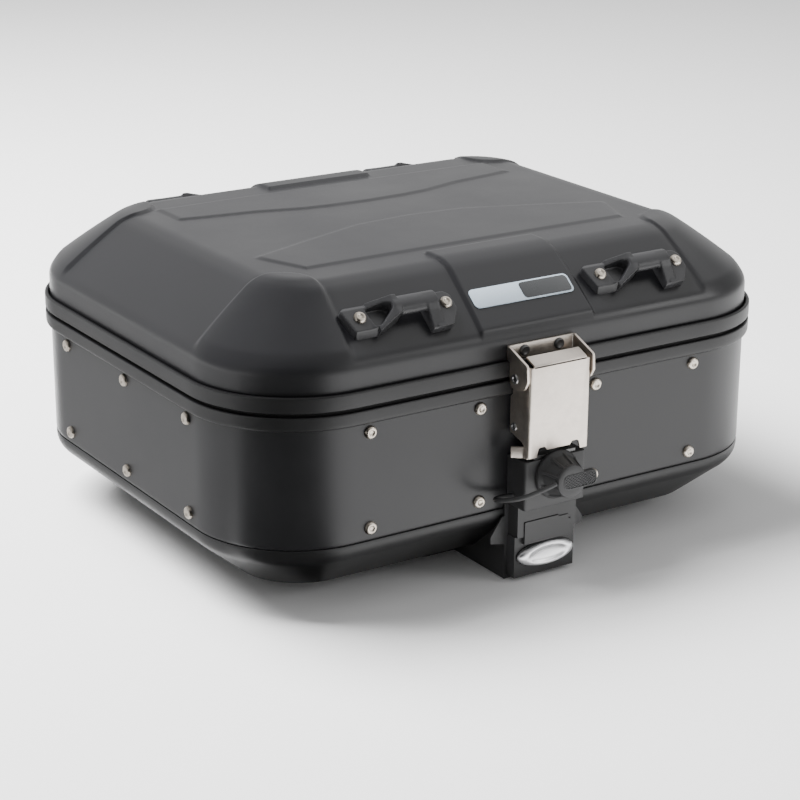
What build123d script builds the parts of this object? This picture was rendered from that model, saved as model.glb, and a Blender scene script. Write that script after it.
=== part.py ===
from build123d import *
import math
import os

# Aluminium top case for a motorcycle, about 30 litres.
# Frame: millimetres, +Z up, +X to the right of the latch as its user faces it.
# The latch side faces -Y and the lid hinges are at +Y.
# Origin: the flat underside of the base frame, on the centre of the body.

os.makedirs("parts", exist_ok=True)

# ---------------------------------------------------------------- dimensions
case_l = 457.0          # outer length over the side panels (X)
case_w = 369.0          # outer depth over the front and rear panels (Y)
corner_r = 78.0         # outer plan radius of the panels
sheet = 2.0             # panel thickness
fit = 0.1               # gap between a panel and the part tucked behind it

rim_out = 4.0           # how far the rim bands stand out of the panels
z_pan = 12.0            # underside of the bottom pan
z_crease = 53.0         # lower edge of the panels
z_shell = 146.0         # upper edge of the panels
z_band_lo = 138.0       # lower rim band, bottom
z_band_hi = 148.6       # lower rim band, top
z_lid_lo = 151.5        # upper rim band, bottom
z_lid_hi = 162.5        # upper rim band, top
z_skirt = 181.0         # lid: top of the upright skirt
z_top = 222.5           # lid: top plane
top_l, top_w = 350.0, 265.0   # lid: top plane before its edges are rounded
lid_t = 2.0

flange_t = 2.5          # inner flanges of the rims and the pan
pan_inset = 38.0        # pan floor, inset from the panels

riv_head_r, riv_head_h = 4.7, 2.6
riv_shank_r, riv_hole_r = 2.4, 2.5
riv_x = (-138.4, -49.5, 49.5, 138.4)
riv_y = (-95.0, 0.0, 95.0)
z_riv_lo, z_riv_hi = 62.7, 131.3

half_l, half_w = case_l / 2, case_w / 2
rise, run_y = z_top - z_skirt, half_w - top_w / 2
slope = math.atan2(rise, run_y)          # front and rear lid slopes
slope_len = math.hypot(rise, run_y)


def front_slope(x, s, h):
    """Plane on the front slope: x along the case, s up the slope from the skirt, h above it."""
    y = -half_w + s * math.cos(slope) - h * math.sin(slope)
    z = z_skirt + s * math.sin(slope) + h * math.cos(slope)
    return Plane(origin=(x, y, z), x_dir=(1, 0, 0), z_dir=(0, -math.sin(slope), math.cos(slope)))


def rear_slope(x, s, h):
    """The same on the rear slope, with its x axis reversed."""
    y = half_w - s * math.cos(slope) + h * math.sin(slope)
    z = z_skirt + s * math.sin(slope) + h * math.cos(slope)
    return Plane(origin=(x, y, z), x_dir=(-1, 0, 0), z_dir=(0, math.sin(slope), math.cos(slope)))


def slope_pt(s, h):
    """(distance from the case's centre plane, z) of a point s up the slope and h above it."""
    return (half_w - s * math.cos(slope) + h * math.sin(slope), z_skirt + s * math.sin(slope) + h * math.cos(slope))


hump_h = 2.2            # raised centre panels of the lid
hump_half = 46.0
hump_pts = [(half_w, z_skirt - 1.0), slope_pt(0.4, 1.0), slope_pt(2.4, hump_h), slope_pt(59.0, hump_h - 0.2),
            (130.0, z_top + 1.6), (124.0, z_top + 2.1), (111.0, z_top + 2.1), (108.5, z_top + 0.3), (108.0, z_top - 1.0),
            (126.0, z_top - 1.0), slope_pt(58.0, -1.2), slope_pt(1.5, -0.8)]


def save(part, name):
    part.label = name
    export_step(part, f"parts/{name}.step")


# ---------------------------------------------------------------- body
with BuildPart() as body_shell:
    with BuildSketch(Plane.XY.offset(z_crease)):
        RectangleRounded(case_l, case_w, corner_r)
        RectangleRounded(case_l - 2 * sheet, case_w - 2 * sheet, corner_r - sheet, mode=Mode.SUBTRACT)
    extrude(amount=z_shell - z_crease)
    with BuildSketch(Plane.XZ):
        with Locations(*[(x, z) for x in riv_x for z in (z_riv_lo, z_riv_hi)]):
            Circle(riv_hole_r)
    extrude(amount=case_w, both=True, mode=Mode.SUBTRACT)
    with BuildSketch(Plane.YZ):
        with Locations(*[(y, z) for y in riv_y for z in (z_riv_lo, z_riv_hi)]):
            Circle(riv_hole_r)
    extrude(amount=case_l, both=True, mode=Mode.SUBTRACT)
    # screw holes of the lock column
    with BuildSketch(Plane.XZ):
        with Locations((-18, 66), (18, 66), (-18, 91), (18, 91)):
            Circle(2.1)
    extrude(amount=case_w, mode=Mode.SUBTRACT)
    # rivet holes of the hinge leaves
    with BuildSketch(Plane.XZ):
        with Locations(*[(x + d, 112.0) for x in (-94, 94) for d in (-16, 16)]):
            Circle(2.1)
    extrude(amount=-case_w, mode=Mode.SUBTRACT)
save(body_shell.part, "body_shell")

with BuildPart() as pan_hollow:
    with BuildSketch(Plane.XY.offset(80.0)):
        RectangleRounded(case_l - 9.2, case_w - 9.2, corner_r - 4.6)
    with BuildSketch(Plane.XY.offset(51.0)):
        RectangleRounded(case_l - 9.2, case_w - 9.2, corner_r - 4.6)
    with BuildSketch(Plane.XY.offset(40.0)):
        RectangleRounded(case_l - 16.5, case_w - 16.5, corner_r - 8.0)
    with BuildSketch(Plane.XY.offset(z_pan + flange_t)):
        RectangleRounded(case_l - 2 * pan_inset - 4.0, case_w - 2 * pan_inset - 4.0, 43.0)
    loft(ruled=True)

with BuildPart() as bottom_pan:
    with BuildSketch(Plane.XY.offset(z_crease)):
        RectangleRounded(case_l, case_w, corner_r)
    with BuildSketch(Plane.XY.offset(46.0)):
        RectangleRounded(case_l - 2.0, case_w - 2.0, corner_r - 1.0)
    with BuildSketch(Plane.XY.offset(40.0)):
        RectangleRounded(case_l - 10.0, case_w - 10.0, corner_r - 5.0)
    with BuildSketch(Plane.XY.offset(z_pan)):
        RectangleRounded(case_l - 2 * pan_inset, case_w - 2 * pan_inset, 45.0)
    loft(ruled=True)
    # upstand tucked behind the panels
    with BuildSketch(Plane.XY.offset(z_crease)):
        RectangleRounded(case_l - 2 * sheet - 2 * fit, case_w - 2 * sheet - 2 * fit, corner_r - sheet - fit)
    extrude(amount=19.0)
    add(pan_hollow.part, mode=Mode.SUBTRACT)
    with BuildSketch(Plane.XZ):
        with Locations(*[(x, z_riv_lo) for x in riv_x]):
            Circle(riv_hole_r)
    extrude(amount=case_w, both=True, mode=Mode.SUBTRACT)
    with BuildSketch(Plane.YZ):
        with Locations(*[(y, z_riv_lo) for y in riv_y]):
            Circle(riv_hole_r)
    extrude(amount=case_l, both=True, mode=Mode.SUBTRACT)
    with BuildSketch(Plane.XZ):
        with Locations((-18, 66), (18, 66)):
            Circle(2.1)
    extrude(amount=case_w, mode=Mode.SUBTRACT)
    # screw holes down into the base frame
    with BuildSketch(Plane.XY.offset(z_pan - 1)):
        with Locations((-45, -100), (45, -100), (-45, 20), (45, 20), (-45, 130), (45, 130)):
            Circle(2.6)
    extrude(amount=6.0, mode=Mode.SUBTRACT)
save(bottom_pan.part, "bottom_pan")

with BuildPart() as lower_rim:
    with BuildSketch(Plane.XY.offset(z_band_lo)):
        RectangleRounded(case_l + 2 * rim_out, case_w + 2 * rim_out, corner_r + rim_out)
        RectangleRounded(case_l + 0.2, case_w + 0.2, corner_r + 0.1, mode=Mode.SUBTRACT)
    extrude(amount=z_band_hi - z_band_lo)
    with BuildSketch(Plane.XY.offset(z_shell + 0.2)):
        RectangleRounded(case_l + 2 * rim_out, case_w + 2 * rim_out, corner_r + rim_out)
        RectangleRounded(446, 358, 72.5, mode=Mode.SUBTRACT)
    extrude(amount=z_band_hi - z_shell - 0.2)
    with BuildSketch(Plane.XY.offset(121.0)):
        RectangleRounded(case_l - 4.2, case_w - 4.2, corner_r - 2.1)
        RectangleRounded(case_l - 9.2, case_w - 9.2, corner_r - 4.6, mode=Mode.SUBTRACT)
    extrude(amount=z_shell + 0.3 - 121.0)
    with BuildSketch(Plane.XZ):
        with Locations(*[(x, z_riv_hi) for x in riv_x]):
            Circle(riv_hole_r)
    extrude(amount=case_w, both=True, mode=Mode.SUBTRACT)
    with BuildSketch(Plane.YZ):
        with Locations(*[(y, z_riv_hi) for y in riv_y]):
            Circle(riv_hole_r)
    extrude(amount=case_l, both=True, mode=Mode.SUBTRACT)
save(lower_rim.part, "lower_rim")

with BuildPart() as rim_seal:
    with BuildSketch(Plane.XY.offset(z_band_hi)):
        RectangleRounded(458, 370, 78.5)
        RectangleRounded(450, 362, 74.5, mode=Mode.SUBTRACT)
    extrude(amount=2.6)
save(rim_seal.part, "rim_seal")

with BuildPart() as floor_mat:
    with BuildSketch(Plane.XY.offset(z_pan + flange_t)):
        RectangleRounded(360, 272, 38)
    extrude(amount=2.0)
    # pockets that clear the screw heads
    with BuildSketch(Plane.XY.offset(z_pan + flange_t - 1)):
        with Locations((-45, -100), (45, -100), (-45, 20), (45, 20), (-45, 130), (45, 130)):
            Circle(5.6)
    extrude(amount=4.0, mode=Mode.SUBTRACT)
save(floor_mat.part, "floor_mat")

# ---------------------------------------------------------------- panel rivets
# Each one: domed head outside, shank through panel and flange, formed tail inside.
with BuildPart() as front_rivets:
    for z, inner in ((z_riv_lo, 4.6), (z_riv_hi, 4.6)):
        with BuildSketch(Plane.XZ.offset(half_w)):
            with Locations(*[(x, z) for x in riv_x]):
                Circle(riv_head_r)
        extrude(amount=riv_head_h, taper=12)
        with BuildSketch(Plane.XZ.offset(half_w - inner - 1.2)):
            with Locations(*[(x, z) for x in riv_x]):
                Circle(riv_shank_r)
        extrude(amount=inner + 1.2 + 0.5)
        with BuildSketch(Plane.XZ.offset(half_w - inner - 1.4)):
            with Locations(*[(x, z) for x in riv_x]):
                Circle(3.6)
        extrude(amount=1.4)
save(front_rivets.part, "front_rivets")

with BuildPart() as rear_rivets:
    for z, inner in ((z_riv_lo, 4.6), (z_riv_hi, 4.6)):
        with BuildSketch(Plane.XZ.offset(-half_w)):
            with Locations(*[(x, z) for x in riv_x]):
                Circle(riv_head_r)
        extrude(amount=-riv_head_h, taper=12)
        with BuildSketch(Plane.XZ.offset(-half_w - 0.5)):
            with Locations(*[(x, z) for x in riv_x]):
                Circle(riv_shank_r)
        extrude(amount=inner + 1.2 + 0.5)
        with BuildSketch(Plane.XZ.offset(-half_w + inner)):
            with Locations(*[(x, z) for x in riv_x]):
                Circle(3.6)
        extrude(amount=1.4)
save(rear_rivets.part, "rear_rivets")

with BuildPart() as right_rivets:
    for z, inner in ((z_riv_lo, 4.6), (z_riv_hi, 4.6)):
        with BuildSketch(Plane.YZ.offset(half_l)):
            with Locations(*[(y, z) for y in riv_y]):
                Circle(riv_head_r)
        extrude(amount=riv_head_h, taper=12)
        with BuildSketch(Plane.YZ.offset(half_l - inner - 1.2)):
            with Locations(*[(y, z) for y in riv_y]):
                Circle(riv_shank_r)
        extrude(amount=inner + 1.2 + 0.5)
        with BuildSketch(Plane.YZ.offset(half_l - inner - 1.4)):
            with Locations(*[(y, z) for y in riv_y]):
                Circle(3.6)
        extrude(amount=1.4)
save(right_rivets.part, "right_rivets")

with BuildPart() as left_rivets:
    for z, inner in ((z_riv_lo, 4.6), (z_riv_hi, 4.6)):
        with BuildSketch(Plane.YZ.offset(-half_l)):
            with Locations(*[(y, z) for y in riv_y]):
                Circle(riv_head_r)
        extrude(amount=-riv_head_h, taper=12)
        with BuildSketch(Plane.YZ.offset(-half_l - 0.5)):
            with Locations(*[(y, z) for y in riv_y]):
                Circle(riv_shank_r)
        extrude(amount=inner + 1.2 + 0.5)
        with BuildSketch(Plane.YZ.offset(-half_l + inner)):
            with Locations(*[(y, z) for y in riv_y]):
                Circle(3.6)
        extrude(amount=1.4)
save(left_rivets.part, "left_rivets")

# ---------------------------------------------------------------- lid
with BuildPart() as lid_hollow:
    with BuildSketch(Plane.XY.offset(z_lid_lo)):
        RectangleRounded(case_l - 2 * lid_t, case_w - 2 * lid_t, corner_r - lid_t)
    extrude(amount=z_skirt - 1.0 - z_lid_lo)
    with BuildSketch(Plane.XY.offset(z_skirt - 1.0)):
        RectangleRounded(case_l - 2 * lid_t, case_w - 2 * lid_t, corner_r - lid_t)
    with BuildSketch(Plane.XY.offset(z_top - lid_t)):
        RectangleRounded(top_l - 1.4, top_w - 1.4, 41.0)
    loft(ruled=True)

with BuildPart() as lid_shell:
    with BuildSketch(Plane.XY.offset(z_lid_lo + 2.6)):
        RectangleRounded(case_l, case_w, corner_r)
    extrude(amount=z_skirt - z_lid_lo - 2.6)
    with BuildSketch(Plane.XY.offset(z_skirt)):
        RectangleRounded(case_l, case_w, corner_r)
    with BuildSketch(Plane.XY.offset(z_top)):
        RectangleRounded(top_l, top_w, 42.0)
    loft(ruled=True)
    fillet(lid_shell.edges().group_by(Axis.Z)[-1], radius=10.0)
    add(lid_hollow.part, mode=Mode.SUBTRACT)
    # raised centre panels that run up the front and rear slopes and onto the top
    for sgn in (-1, 1):
        with BuildSketch(Plane.YZ.offset(-hump_half)):
            with BuildLine():
                Polyline(*[(sgn * y, z) for y, z in hump_pts], close=True)
            make_face()
        extrude(amount=2 * hump_half)
    # rivet holes: tie-down handles, front and rear
    for x in (-134.8, -66.4, 65.2, 133.6):
        with BuildSketch(front_slope(x, 29.5, -6)):
            Circle(2.1)
        extrude(amount=12, mode=Mode.SUBTRACT)
        with BuildSketch(rear_slope(-x, 29.5, -6)):
            Circle(2.1)
        extrude(amount=12, mode=Mode.SUBTRACT)
    # rivet holes: latch bracket in the front skirt, hinge leaves in the rear skirt
    with BuildSketch(Plane.XZ):
        with Locations((-14.7, 168.0), (14.7, 168.0)):
            Circle(2.1)
    extrude(amount=case_w, mode=Mode.SUBTRACT)
    with BuildSketch(Plane.XZ):
        with Locations(*[(x + d, 172.0) for x in (-94, 94) for d in (-16, 16)]):
            Circle(2.1)
    extrude(amount=-case_w, mode=Mode.SUBTRACT)
save(lid_shell.part, "lid_shell")

with BuildPart() as upper_rim:
    with BuildSketch(Plane.XY.offset(z_lid_lo)):
        RectangleRounded(case_l + 2 * rim_out, case_w + 2 * rim_out, corner_r + rim_out)
        RectangleRounded(446, 358, 72.5, mode=Mode.SUBTRACT)
    extrude(amount=2.4)
    with BuildSketch(Plane.XY.offset(z_lid_lo + 2.4)):
        RectangleRounded(case_l + 2 * rim_out, case_w + 2 * rim_out, corner_r + rim_out)
        RectangleRounded(case_l + 0.2, case_w + 0.2, corner_r + 0.1, mode=Mode.SUBTRACT)
    extrude(amount=z_lid_hi - z_lid_lo - 2.4)
    with BuildSketch(Plane.XY.offset(z_lid_lo + 2.4)):
        RectangleRounded(case_l - 4.2, case_w - 4.2, corner_r - 2.1)
        RectangleRounded(case_l - 9.2, case_w - 9.2, corner_r - 4.6, mode=Mode.SUBTRACT)
    extrude(amount=10.0)
save(upper_rim.part, "upper_rim")

# ---------------------------------------------------------------- tie-down handles
handle_h = 13.5
handle_pts = [(-46, 37.5), (-42, 40), (37, 39.5), (41, 35), (41, 23), (33, 12), (17.5, 11.5),
              (16, 25), (-5.5, 25), (-24.5, 16.6), (-41, 17)]
pocket_pts = [(-29, 36.5), (-14, 37.5), (-8, 35), (-8, 31), (-22, 19.8), (-27, 19.5)]

for name, plane in (
    ("handle_front_left", front_slope(-100.6, 0, 0.05)),
    ("handle_front_right", front_slope(99.4, 0, 0.05)),
    ("handle_rear_left", rear_slope(-99.4, 0, 0.05)),
    ("handle_rear_right", rear_slope(100.6, 0, 0.05)),
):
    with BuildPart() as tie_handle:
        with BuildSketch(plane):
            with BuildLine():
                Polyline(*handle_pts, close=True)
            make_face()
        extrude(amount=handle_h)
        # tunnel under the bar for a tie-down strap
        with BuildSketch(plane):
            with Locations((4.5, 30)):
                Rectangle(23.0, 40.0)
        extrude(amount=7.6, mode=Mode.SUBTRACT)
        # the bar falls to a low pad at the outer rivet
        with BuildSketch(Plane(origin=plane.origin + plane.y_dir * 5.0, x_dir=plane.x_dir, z_dir=-plane.y_dir)):
            with BuildLine():
                Polyline((-50, 7.0), (-29, 7.0), (-8, handle_h), (-8, 20), (-50, 20), close=True)
            make_face()
        extrude(amount=-45.0, mode=Mode.SUBTRACT)
        # pocket between the pad and the bar
        with BuildSketch(plane.offset(3.0)):
            with BuildLine():
                Polyline(*pocket_pts, close=True)
            make_face()
        extrude(amount=handle_h, mode=Mode.SUBTRACT)
        # sunk seat of the inner rivet
        with BuildSketch(plane.offset(7.0)):
            with Locations((35, 28)):
                Rectangle(18.0, 30.0)
        extrude(amount=handle_h, mode=Mode.SUBTRACT)
        with BuildSketch(plane.offset(-1)):
            with Locations((-34.2, 29.5), (34.2, 29.5)):
                Circle(2.1)
        extrude(amount=handle_h + 2, mode=Mode.SUBTRACT)
    save(tie_handle.part, name)

for name, slope_at, cx in (
    ("handle_rivets_front", front_slope, (-100.6, 99.4)),
    ("handle_rivets_rear", rear_slope, (-99.4, 100.6)),
):
    with BuildPart() as handle_rivets:
        for c in cx:
            sign = 1 if slope_at is front_slope else -1
            for d, seat in ((-34.2, 7.05), (34.2, 7.05)):
                with BuildSketch(slope_at(c + sign * d, 29.5, seat)):
                    Circle(4.5)
                extrude(amount=2.6, taper=10)
                with BuildSketch(slope_at(c + sign * d, 29.5, -3.4)):
                    Circle(2.0)
                extrude(amount=seat + 3.9)
                with BuildSketch(slope_at(c + sign * d, 29.5, -3.4)):
                    Circle(3.4)
                extrude(amount=1.3)
    save(handle_rivets.part, name)

with BuildPart() as badge_plate:
    with BuildSketch(front_slope(-1.0, 30.0, hump_h + 0.02)):
        RectangleRounded(84.0, 16.0, 4.0)
    extrude(amount=1.0)
save(badge_plate.part, "badge_plate")

# ---------------------------------------------------------------- latch: bracket on the lid
ear_in, ear_out = 27.0, 28.8
pin_a = (-196.0, 152.0)     # lever pivot (y, z)
pin_b = (-191.5, 115.5)     # hook pivot, at rest

with BuildPart() as latch_bracket:
    with BuildSketch(Plane.XY.offset(162.9)):
        with Locations((0, -half_w - 1.0)):
            Rectangle(2 * ear_out, 2.0)
    extrude(amount=10.1)
    for x0 in (-ear_out, ear_in):
        with BuildSketch(Plane.YZ.offset(x0)):
            with BuildLine():
                Polyline((-half_w, 173), (-187, 173), (-209.3, 164.4), (-210, 153.5), (-208, 149), (-204, 146.2),
                         (-198, 144.6), (-193, 145), (-189.4, 148), (-189.2, 162.9), (-half_w, 162.9), close=True)
            make_face()
        extrude(amount=ear_out - ear_in)
    with BuildSketch(Plane.XZ):
        with Locations((-14.7, 168.0), (14.7, 168.0)):
            Circle(2.1)
    extrude(amount=250, mode=Mode.SUBTRACT)
    with BuildSketch(Plane.YZ):
        with Locations(pin_a):
            Circle(2.55)
    extrude(amount=60, both=True, mode=Mode.SUBTRACT)
save(latch_bracket.part, "latch_bracket")

with BuildPart() as bracket_rivets:
    with BuildSketch(Plane.XZ.offset(half_w + 2.0)):
        with Locations((-14.7, 168.0), (14.7, 168.0)):
            Circle(4.0)
    extrude(amount=1.9, taper=15)
    with BuildSketch(Plane.XZ.offset(half_w - 3.4)):
        with Locations((-14.7, 168.0), (14.7, 168.0)):
            Circle(2.0)
    extrude(amount=6.0)
    with BuildSketch(Plane.XZ.offset(half_w - 3.4)):
        with Locations((-14.7, 168.0), (14.7, 168.0)):
            Circle(3.4)
    extrude(amount=1.3)
save(bracket_rivets.part, "bracket_rivets")

with BuildPart() as latch_pivot_pin:
    with BuildSketch(Plane.YZ.offset(-ear_out - 1.2)):
        with Locations(pin_a):
            Circle(3.6)
    extrude(amount=1.2)
    with BuildSketch(Plane.YZ.offset(-ear_out - 0.2)):
        with Locations(pin_a):
            Circle(2.5)
    extrude(amount=2 * ear_out + 0.4)
    with BuildSketch(Plane.YZ.offset(ear_out)):
        with Locations(pin_a):
            Circle(3.6)
    extrude(amount=1.2)
save(latch_pivot_pin.part, "latch_pivot_pin")

# ---------------------------------------------------------------- latch: lever and hook
lev_in, lev_out = 24.1, 25.6
with BuildPart() as latch_lever:
    # front plate with its notched lower edge
    with BuildSketch(Plane.XZ.offset(207.7)):
        with BuildLine():
            Polyline((-lev_out, 163.0), (lev_out, 163.0), (lev_out, 97.0), (18.5, 97.0), (17.0, 103.5), (11.5, 103.5),
                     (9.5, 101.0), (-9.5, 101.0), (-11.5, 103.5), (-17.0, 103.5), (-18.5, 97.0), (-lev_out, 97.0), close=True)
        make_face()
    extrude(amount=1.5)
    # folded top face
    with BuildSketch(Plane.YZ.offset(-22.0)):
        with BuildLine():
            Polyline((-209.2, 162.5), (-208.4, 164.0), (-199.2, 167.8), (-198.6, 166.4), (-207.7, 162.5), close=True)
        make_face()
    extrude(amount=44.0)
    # side walls, turned round the pivot
    for x0 in (-lev_out, lev_in):
        with BuildSketch(Plane.YZ.offset(x0)):
            with BuildLine():
                Polyline((-208.0, 161.5), (-200.0, 161.5), (-192.5, 156.8), (-190.0, 153.0), (-189.4, 149.0),
                         (-189.4, 137.0), (-186.6, 135.5), (-186.6, 111.0), (-200.4, 107.0), (-203.0, 104.5),
                         (-203.0, 97.0), (-208.0, 97.0), close=True)
            make_face()
        extrude(amount=lev_out - lev_in)
    # pull wings, flared out of the lower ends of the side walls
    for sgn in (-1, 1):
        with BuildSketch(Plane.XY.offset(94.5)):
            with BuildLine():
                Polyline((sgn * lev_in, -207.9), (sgn * lev_out, -207.9), (sgn * lev_out, -202.6), (sgn * 34.0, -196.4),
                         (sgn * 33.1, -195.2), (sgn * lev_in, -201.6), close=True)
            make_face()
        extrude(amount=10.0)
    with BuildSketch(Plane.YZ):
        with Locations(pin_a):
            Circle(2.55)
    extrude(amount=60, both=True, mode=Mode.SUBTRACT)
    with BuildSketch(Plane.YZ):
        with Locations(pin_b):
            Circle(2.05)
    extrude(amount=60, both=True, mode=Mode.SUBTRACT)
save(latch_lever.part, "latch_lever")

with BuildPart() as hook_pin:
    with BuildSketch(Plane.YZ.offset(-lev_out - 1.0)):
        with Locations(pin_b):
            Circle(3.2)
    extrude(amount=1.0)
    with BuildSketch(Plane.YZ.offset(-lev_out - 0.2)):
        with Locations(pin_b):
            Circle(2.0)
    extrude(amount=2 * lev_out + 0.4)
    with BuildSketch(Plane.YZ.offset(lev_out)):
        with Locations(pin_b):
            Circle(3.2)
    extrude(amount=1.0)
save(hook_pin.part, "hook_pin")

with BuildPart() as latch_hook:
    with BuildSketch(Plane.YZ.offset(-16.0)):
        with BuildLine():
            Polyline((-194.9, 119.0), (-188.1, 119.0), (-188.1, 112.0), (-192.6, 105.5), (-192.6, 99.3), (-198.6, 99.3),
                     (-198.6, 101.6), (-195.0, 102.4), (-194.9, 112.0), close=True)
        make_face()
    extrude(amount=32.0)
    with BuildSketch(Plane.YZ):
        with Locations(pin_b):
            Circle(2.05)
    extrude(amount=60, both=True, mode=Mode.SUBTRACT)
save(latch_hook.part, "latch_hook")

# ---------------------------------------------------------------- lock column on the front panel
z_lock = 81.0
y_col = -206.5
with BuildPart() as lock_housing:
    with BuildSketch(Plane.XY.offset(57.3)):
        with Locations((0, (y_col - half_w) / 2)):
            Rectangle(52.0, -y_col - half_w)
    extrude(amount=36.2)
    fillet(lock_housing.edges().filter_by(Axis.Z).sort_by(Axis.Y)[:2], radius=2.0)
    # bore of the key cylinder, and the room of its cam behind it
    with BuildSketch(Plane.XZ.offset(half_w)):
        with Locations((0, z_lock)):
            Circle(8.05)
    extrude(amount=40, mode=Mode.SUBTRACT)
    with BuildSketch(Plane.XZ.offset(half_w)):
        with Locations((0, z_lock)):
            Circle(13.5)
    extrude(amount=6.0, mode=Mode.SUBTRACT)
    # screw holes
    with BuildSketch(Plane.XZ.offset(half_w - 0.5)):
        with Locations((-18, 66), (18, 66), (-18, 91), (18, 91)):
            Circle(1.9)
    extrude(amount=12.0, mode=Mode.SUBTRACT)
save(lock_housing.part, "lock_housing")

with BuildPart() as latch_catch:
    with BuildSketch(Plane.YZ.offset(-18.0)):
        with BuildLine():
            Polyline((-205.0, 93.5), (-186.0, 93.5), (-186.0, 96.0), (-195.5, 96.0), (-195.5, 98.4), (-197.5, 98.4),
                     (-197.5, 96.0), (-205.0, 96.0), close=True)
        make_face()
    extrude(amount=36.0)
save(latch_catch.part, "latch_catch")

with BuildPart() as lock_rosette:
    with BuildSketch(Plane.XZ.offset(-y_col)):
        with Locations((0, z_lock)):
            Circle(10.5)
            Circle(8.05, mode=Mode.SUBTRACT)
    extrude(amount=1.5)
save(lock_rosette.part, "lock_rosette")

with BuildPart() as lock_cylinder:
    with BuildSketch(Plane.XZ.offset(half_w + 3.0)):
        with Locations((0, z_lock)):
            Circle(8.0)
    extrude(amount=22.0)
    with BuildSketch(Plane.XZ.offset(half_w + 25.5)):
        with Locations((0, z_lock)):
            Rectangle(1.8, 8.5)
    extrude(amount=-14.0, mode=Mode.SUBTRACT)
save(lock_cylinder.part, "lock_cylinder")

with BuildPart() as lock_cam:
    with BuildSketch(Plane.XZ.offset(half_w + 0.6)):
        with BuildLine():
            Polyline((-5.0, z_lock - 5.0), (5.0, z_lock - 5.0), (5.0, z_lock + 5.0), (3.5, z_lock + 12.0),
                     (-3.5, z_lock + 12.0), (-5.0, z_lock + 5.0), close=True)
        make_face()
    extrude(amount=2.4)
save(lock_cam.part, "lock_cam")

with BuildPart() as housing_screws:
    for x in (-18.0, 18.0):
        for z, seat in ((66.0, 4.6), (91.0, 2.0)):
            with BuildSketch(Plane.XZ.offset(half_w - seat - 2.2)):
                with Locations((x, z)):
                    Circle(3.8)
            extrude(amount=2.2)
            with BuildSketch(Plane.XZ.offset(half_w - seat - 1.0)):
                with Locations((x, z)):
                    Circle(1.85)
            extrude(amount=seat + 1.0 + 8.0)
save(housing_screws.part, "housing_screws")

# ---------------------------------------------------------------- rubber lock cap and its strap
cap_r0, cap_r1 = 17.8, 11.8
cap_y0, cap_y1 = -206.8, -226.4
with BuildPart() as lock_cap:
    with BuildSketch(Plane.XZ.offset(-cap_y0)):
        with Locations((0, z_lock)):
            Circle(cap_r0)
    with BuildSketch(Plane.XZ.offset(-cap_y0 + 2.5)):
        with Locations((0, z_lock)):
            Circle(cap_r0)
    with BuildSketch(Plane.XZ.offset(-cap_y1 - 2.0)):
        with Locations((0, z_lock)):
            Circle(cap_r1)
    with BuildSketch(Plane.XZ.offset(-cap_y1)):
        with Locations((0, z_lock)):
            Circle(cap_r1)
    loft(ruled=True)
    # grip tab on the nose
    with BuildSketch(Plane.XZ.offset(-cap_y1 - 3.0)):
        with Locations((9.5, z_lock)):
            RectangleRounded(22.8, 11.0, 5.0)
    extrude(amount=3.0)
    # hollow that fits over the rosette and the key cylinder
    with BuildSketch(Plane.XZ.offset(-cap_y0)):
        with Locations((0, z_lock)):
            Circle(11.0)
    extrude(amount=8.0, mode=Mode.SUBTRACT)
save(lock_cap.part, "lock_cap")

strap_d = 3.4
strap_pts = [(-12.7, -224.2, 81.2), (-24.0, -223.6, 78.4), (-39.5, -219.0, 73.6), (-49.0, -206.0, 70.2),
             (-43.0, -193.6, 67.0), (-26.2, -192.6, 65.5)]
strap_radii = []
for a, b, c in zip(strap_pts, strap_pts[1:], strap_pts[2:]):
    u, v = Vector(*b) - Vector(*a), Vector(*c) - Vector(*b)
    turn = math.radians(u.get_angle(v))
    strap_radii.append(0.45 * min(u.length, v.length) / math.tan(turn / 2))
print("strap radii", [round(r, 1) for r in strap_radii])
with BuildPart() as cap_strap:
    with BuildLine() as strap_path:
        FilletPolyline(*strap_pts, radius=strap_radii)
    with BuildSketch(Plane(origin=strap_path.line @ 0, z_dir=strap_path.line % 0)):
        Circle(strap_d / 2)
    sweep()
strap_len = sum(e.length for e in strap_path.line.edges())
print("strap length", round(strap_len, 1), "volume ratio",
      round(cap_strap.part.volume / (math.pi * strap_d ** 2 / 4 * strap_len), 3))
save(cap_strap.part, "cap_strap")

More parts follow.
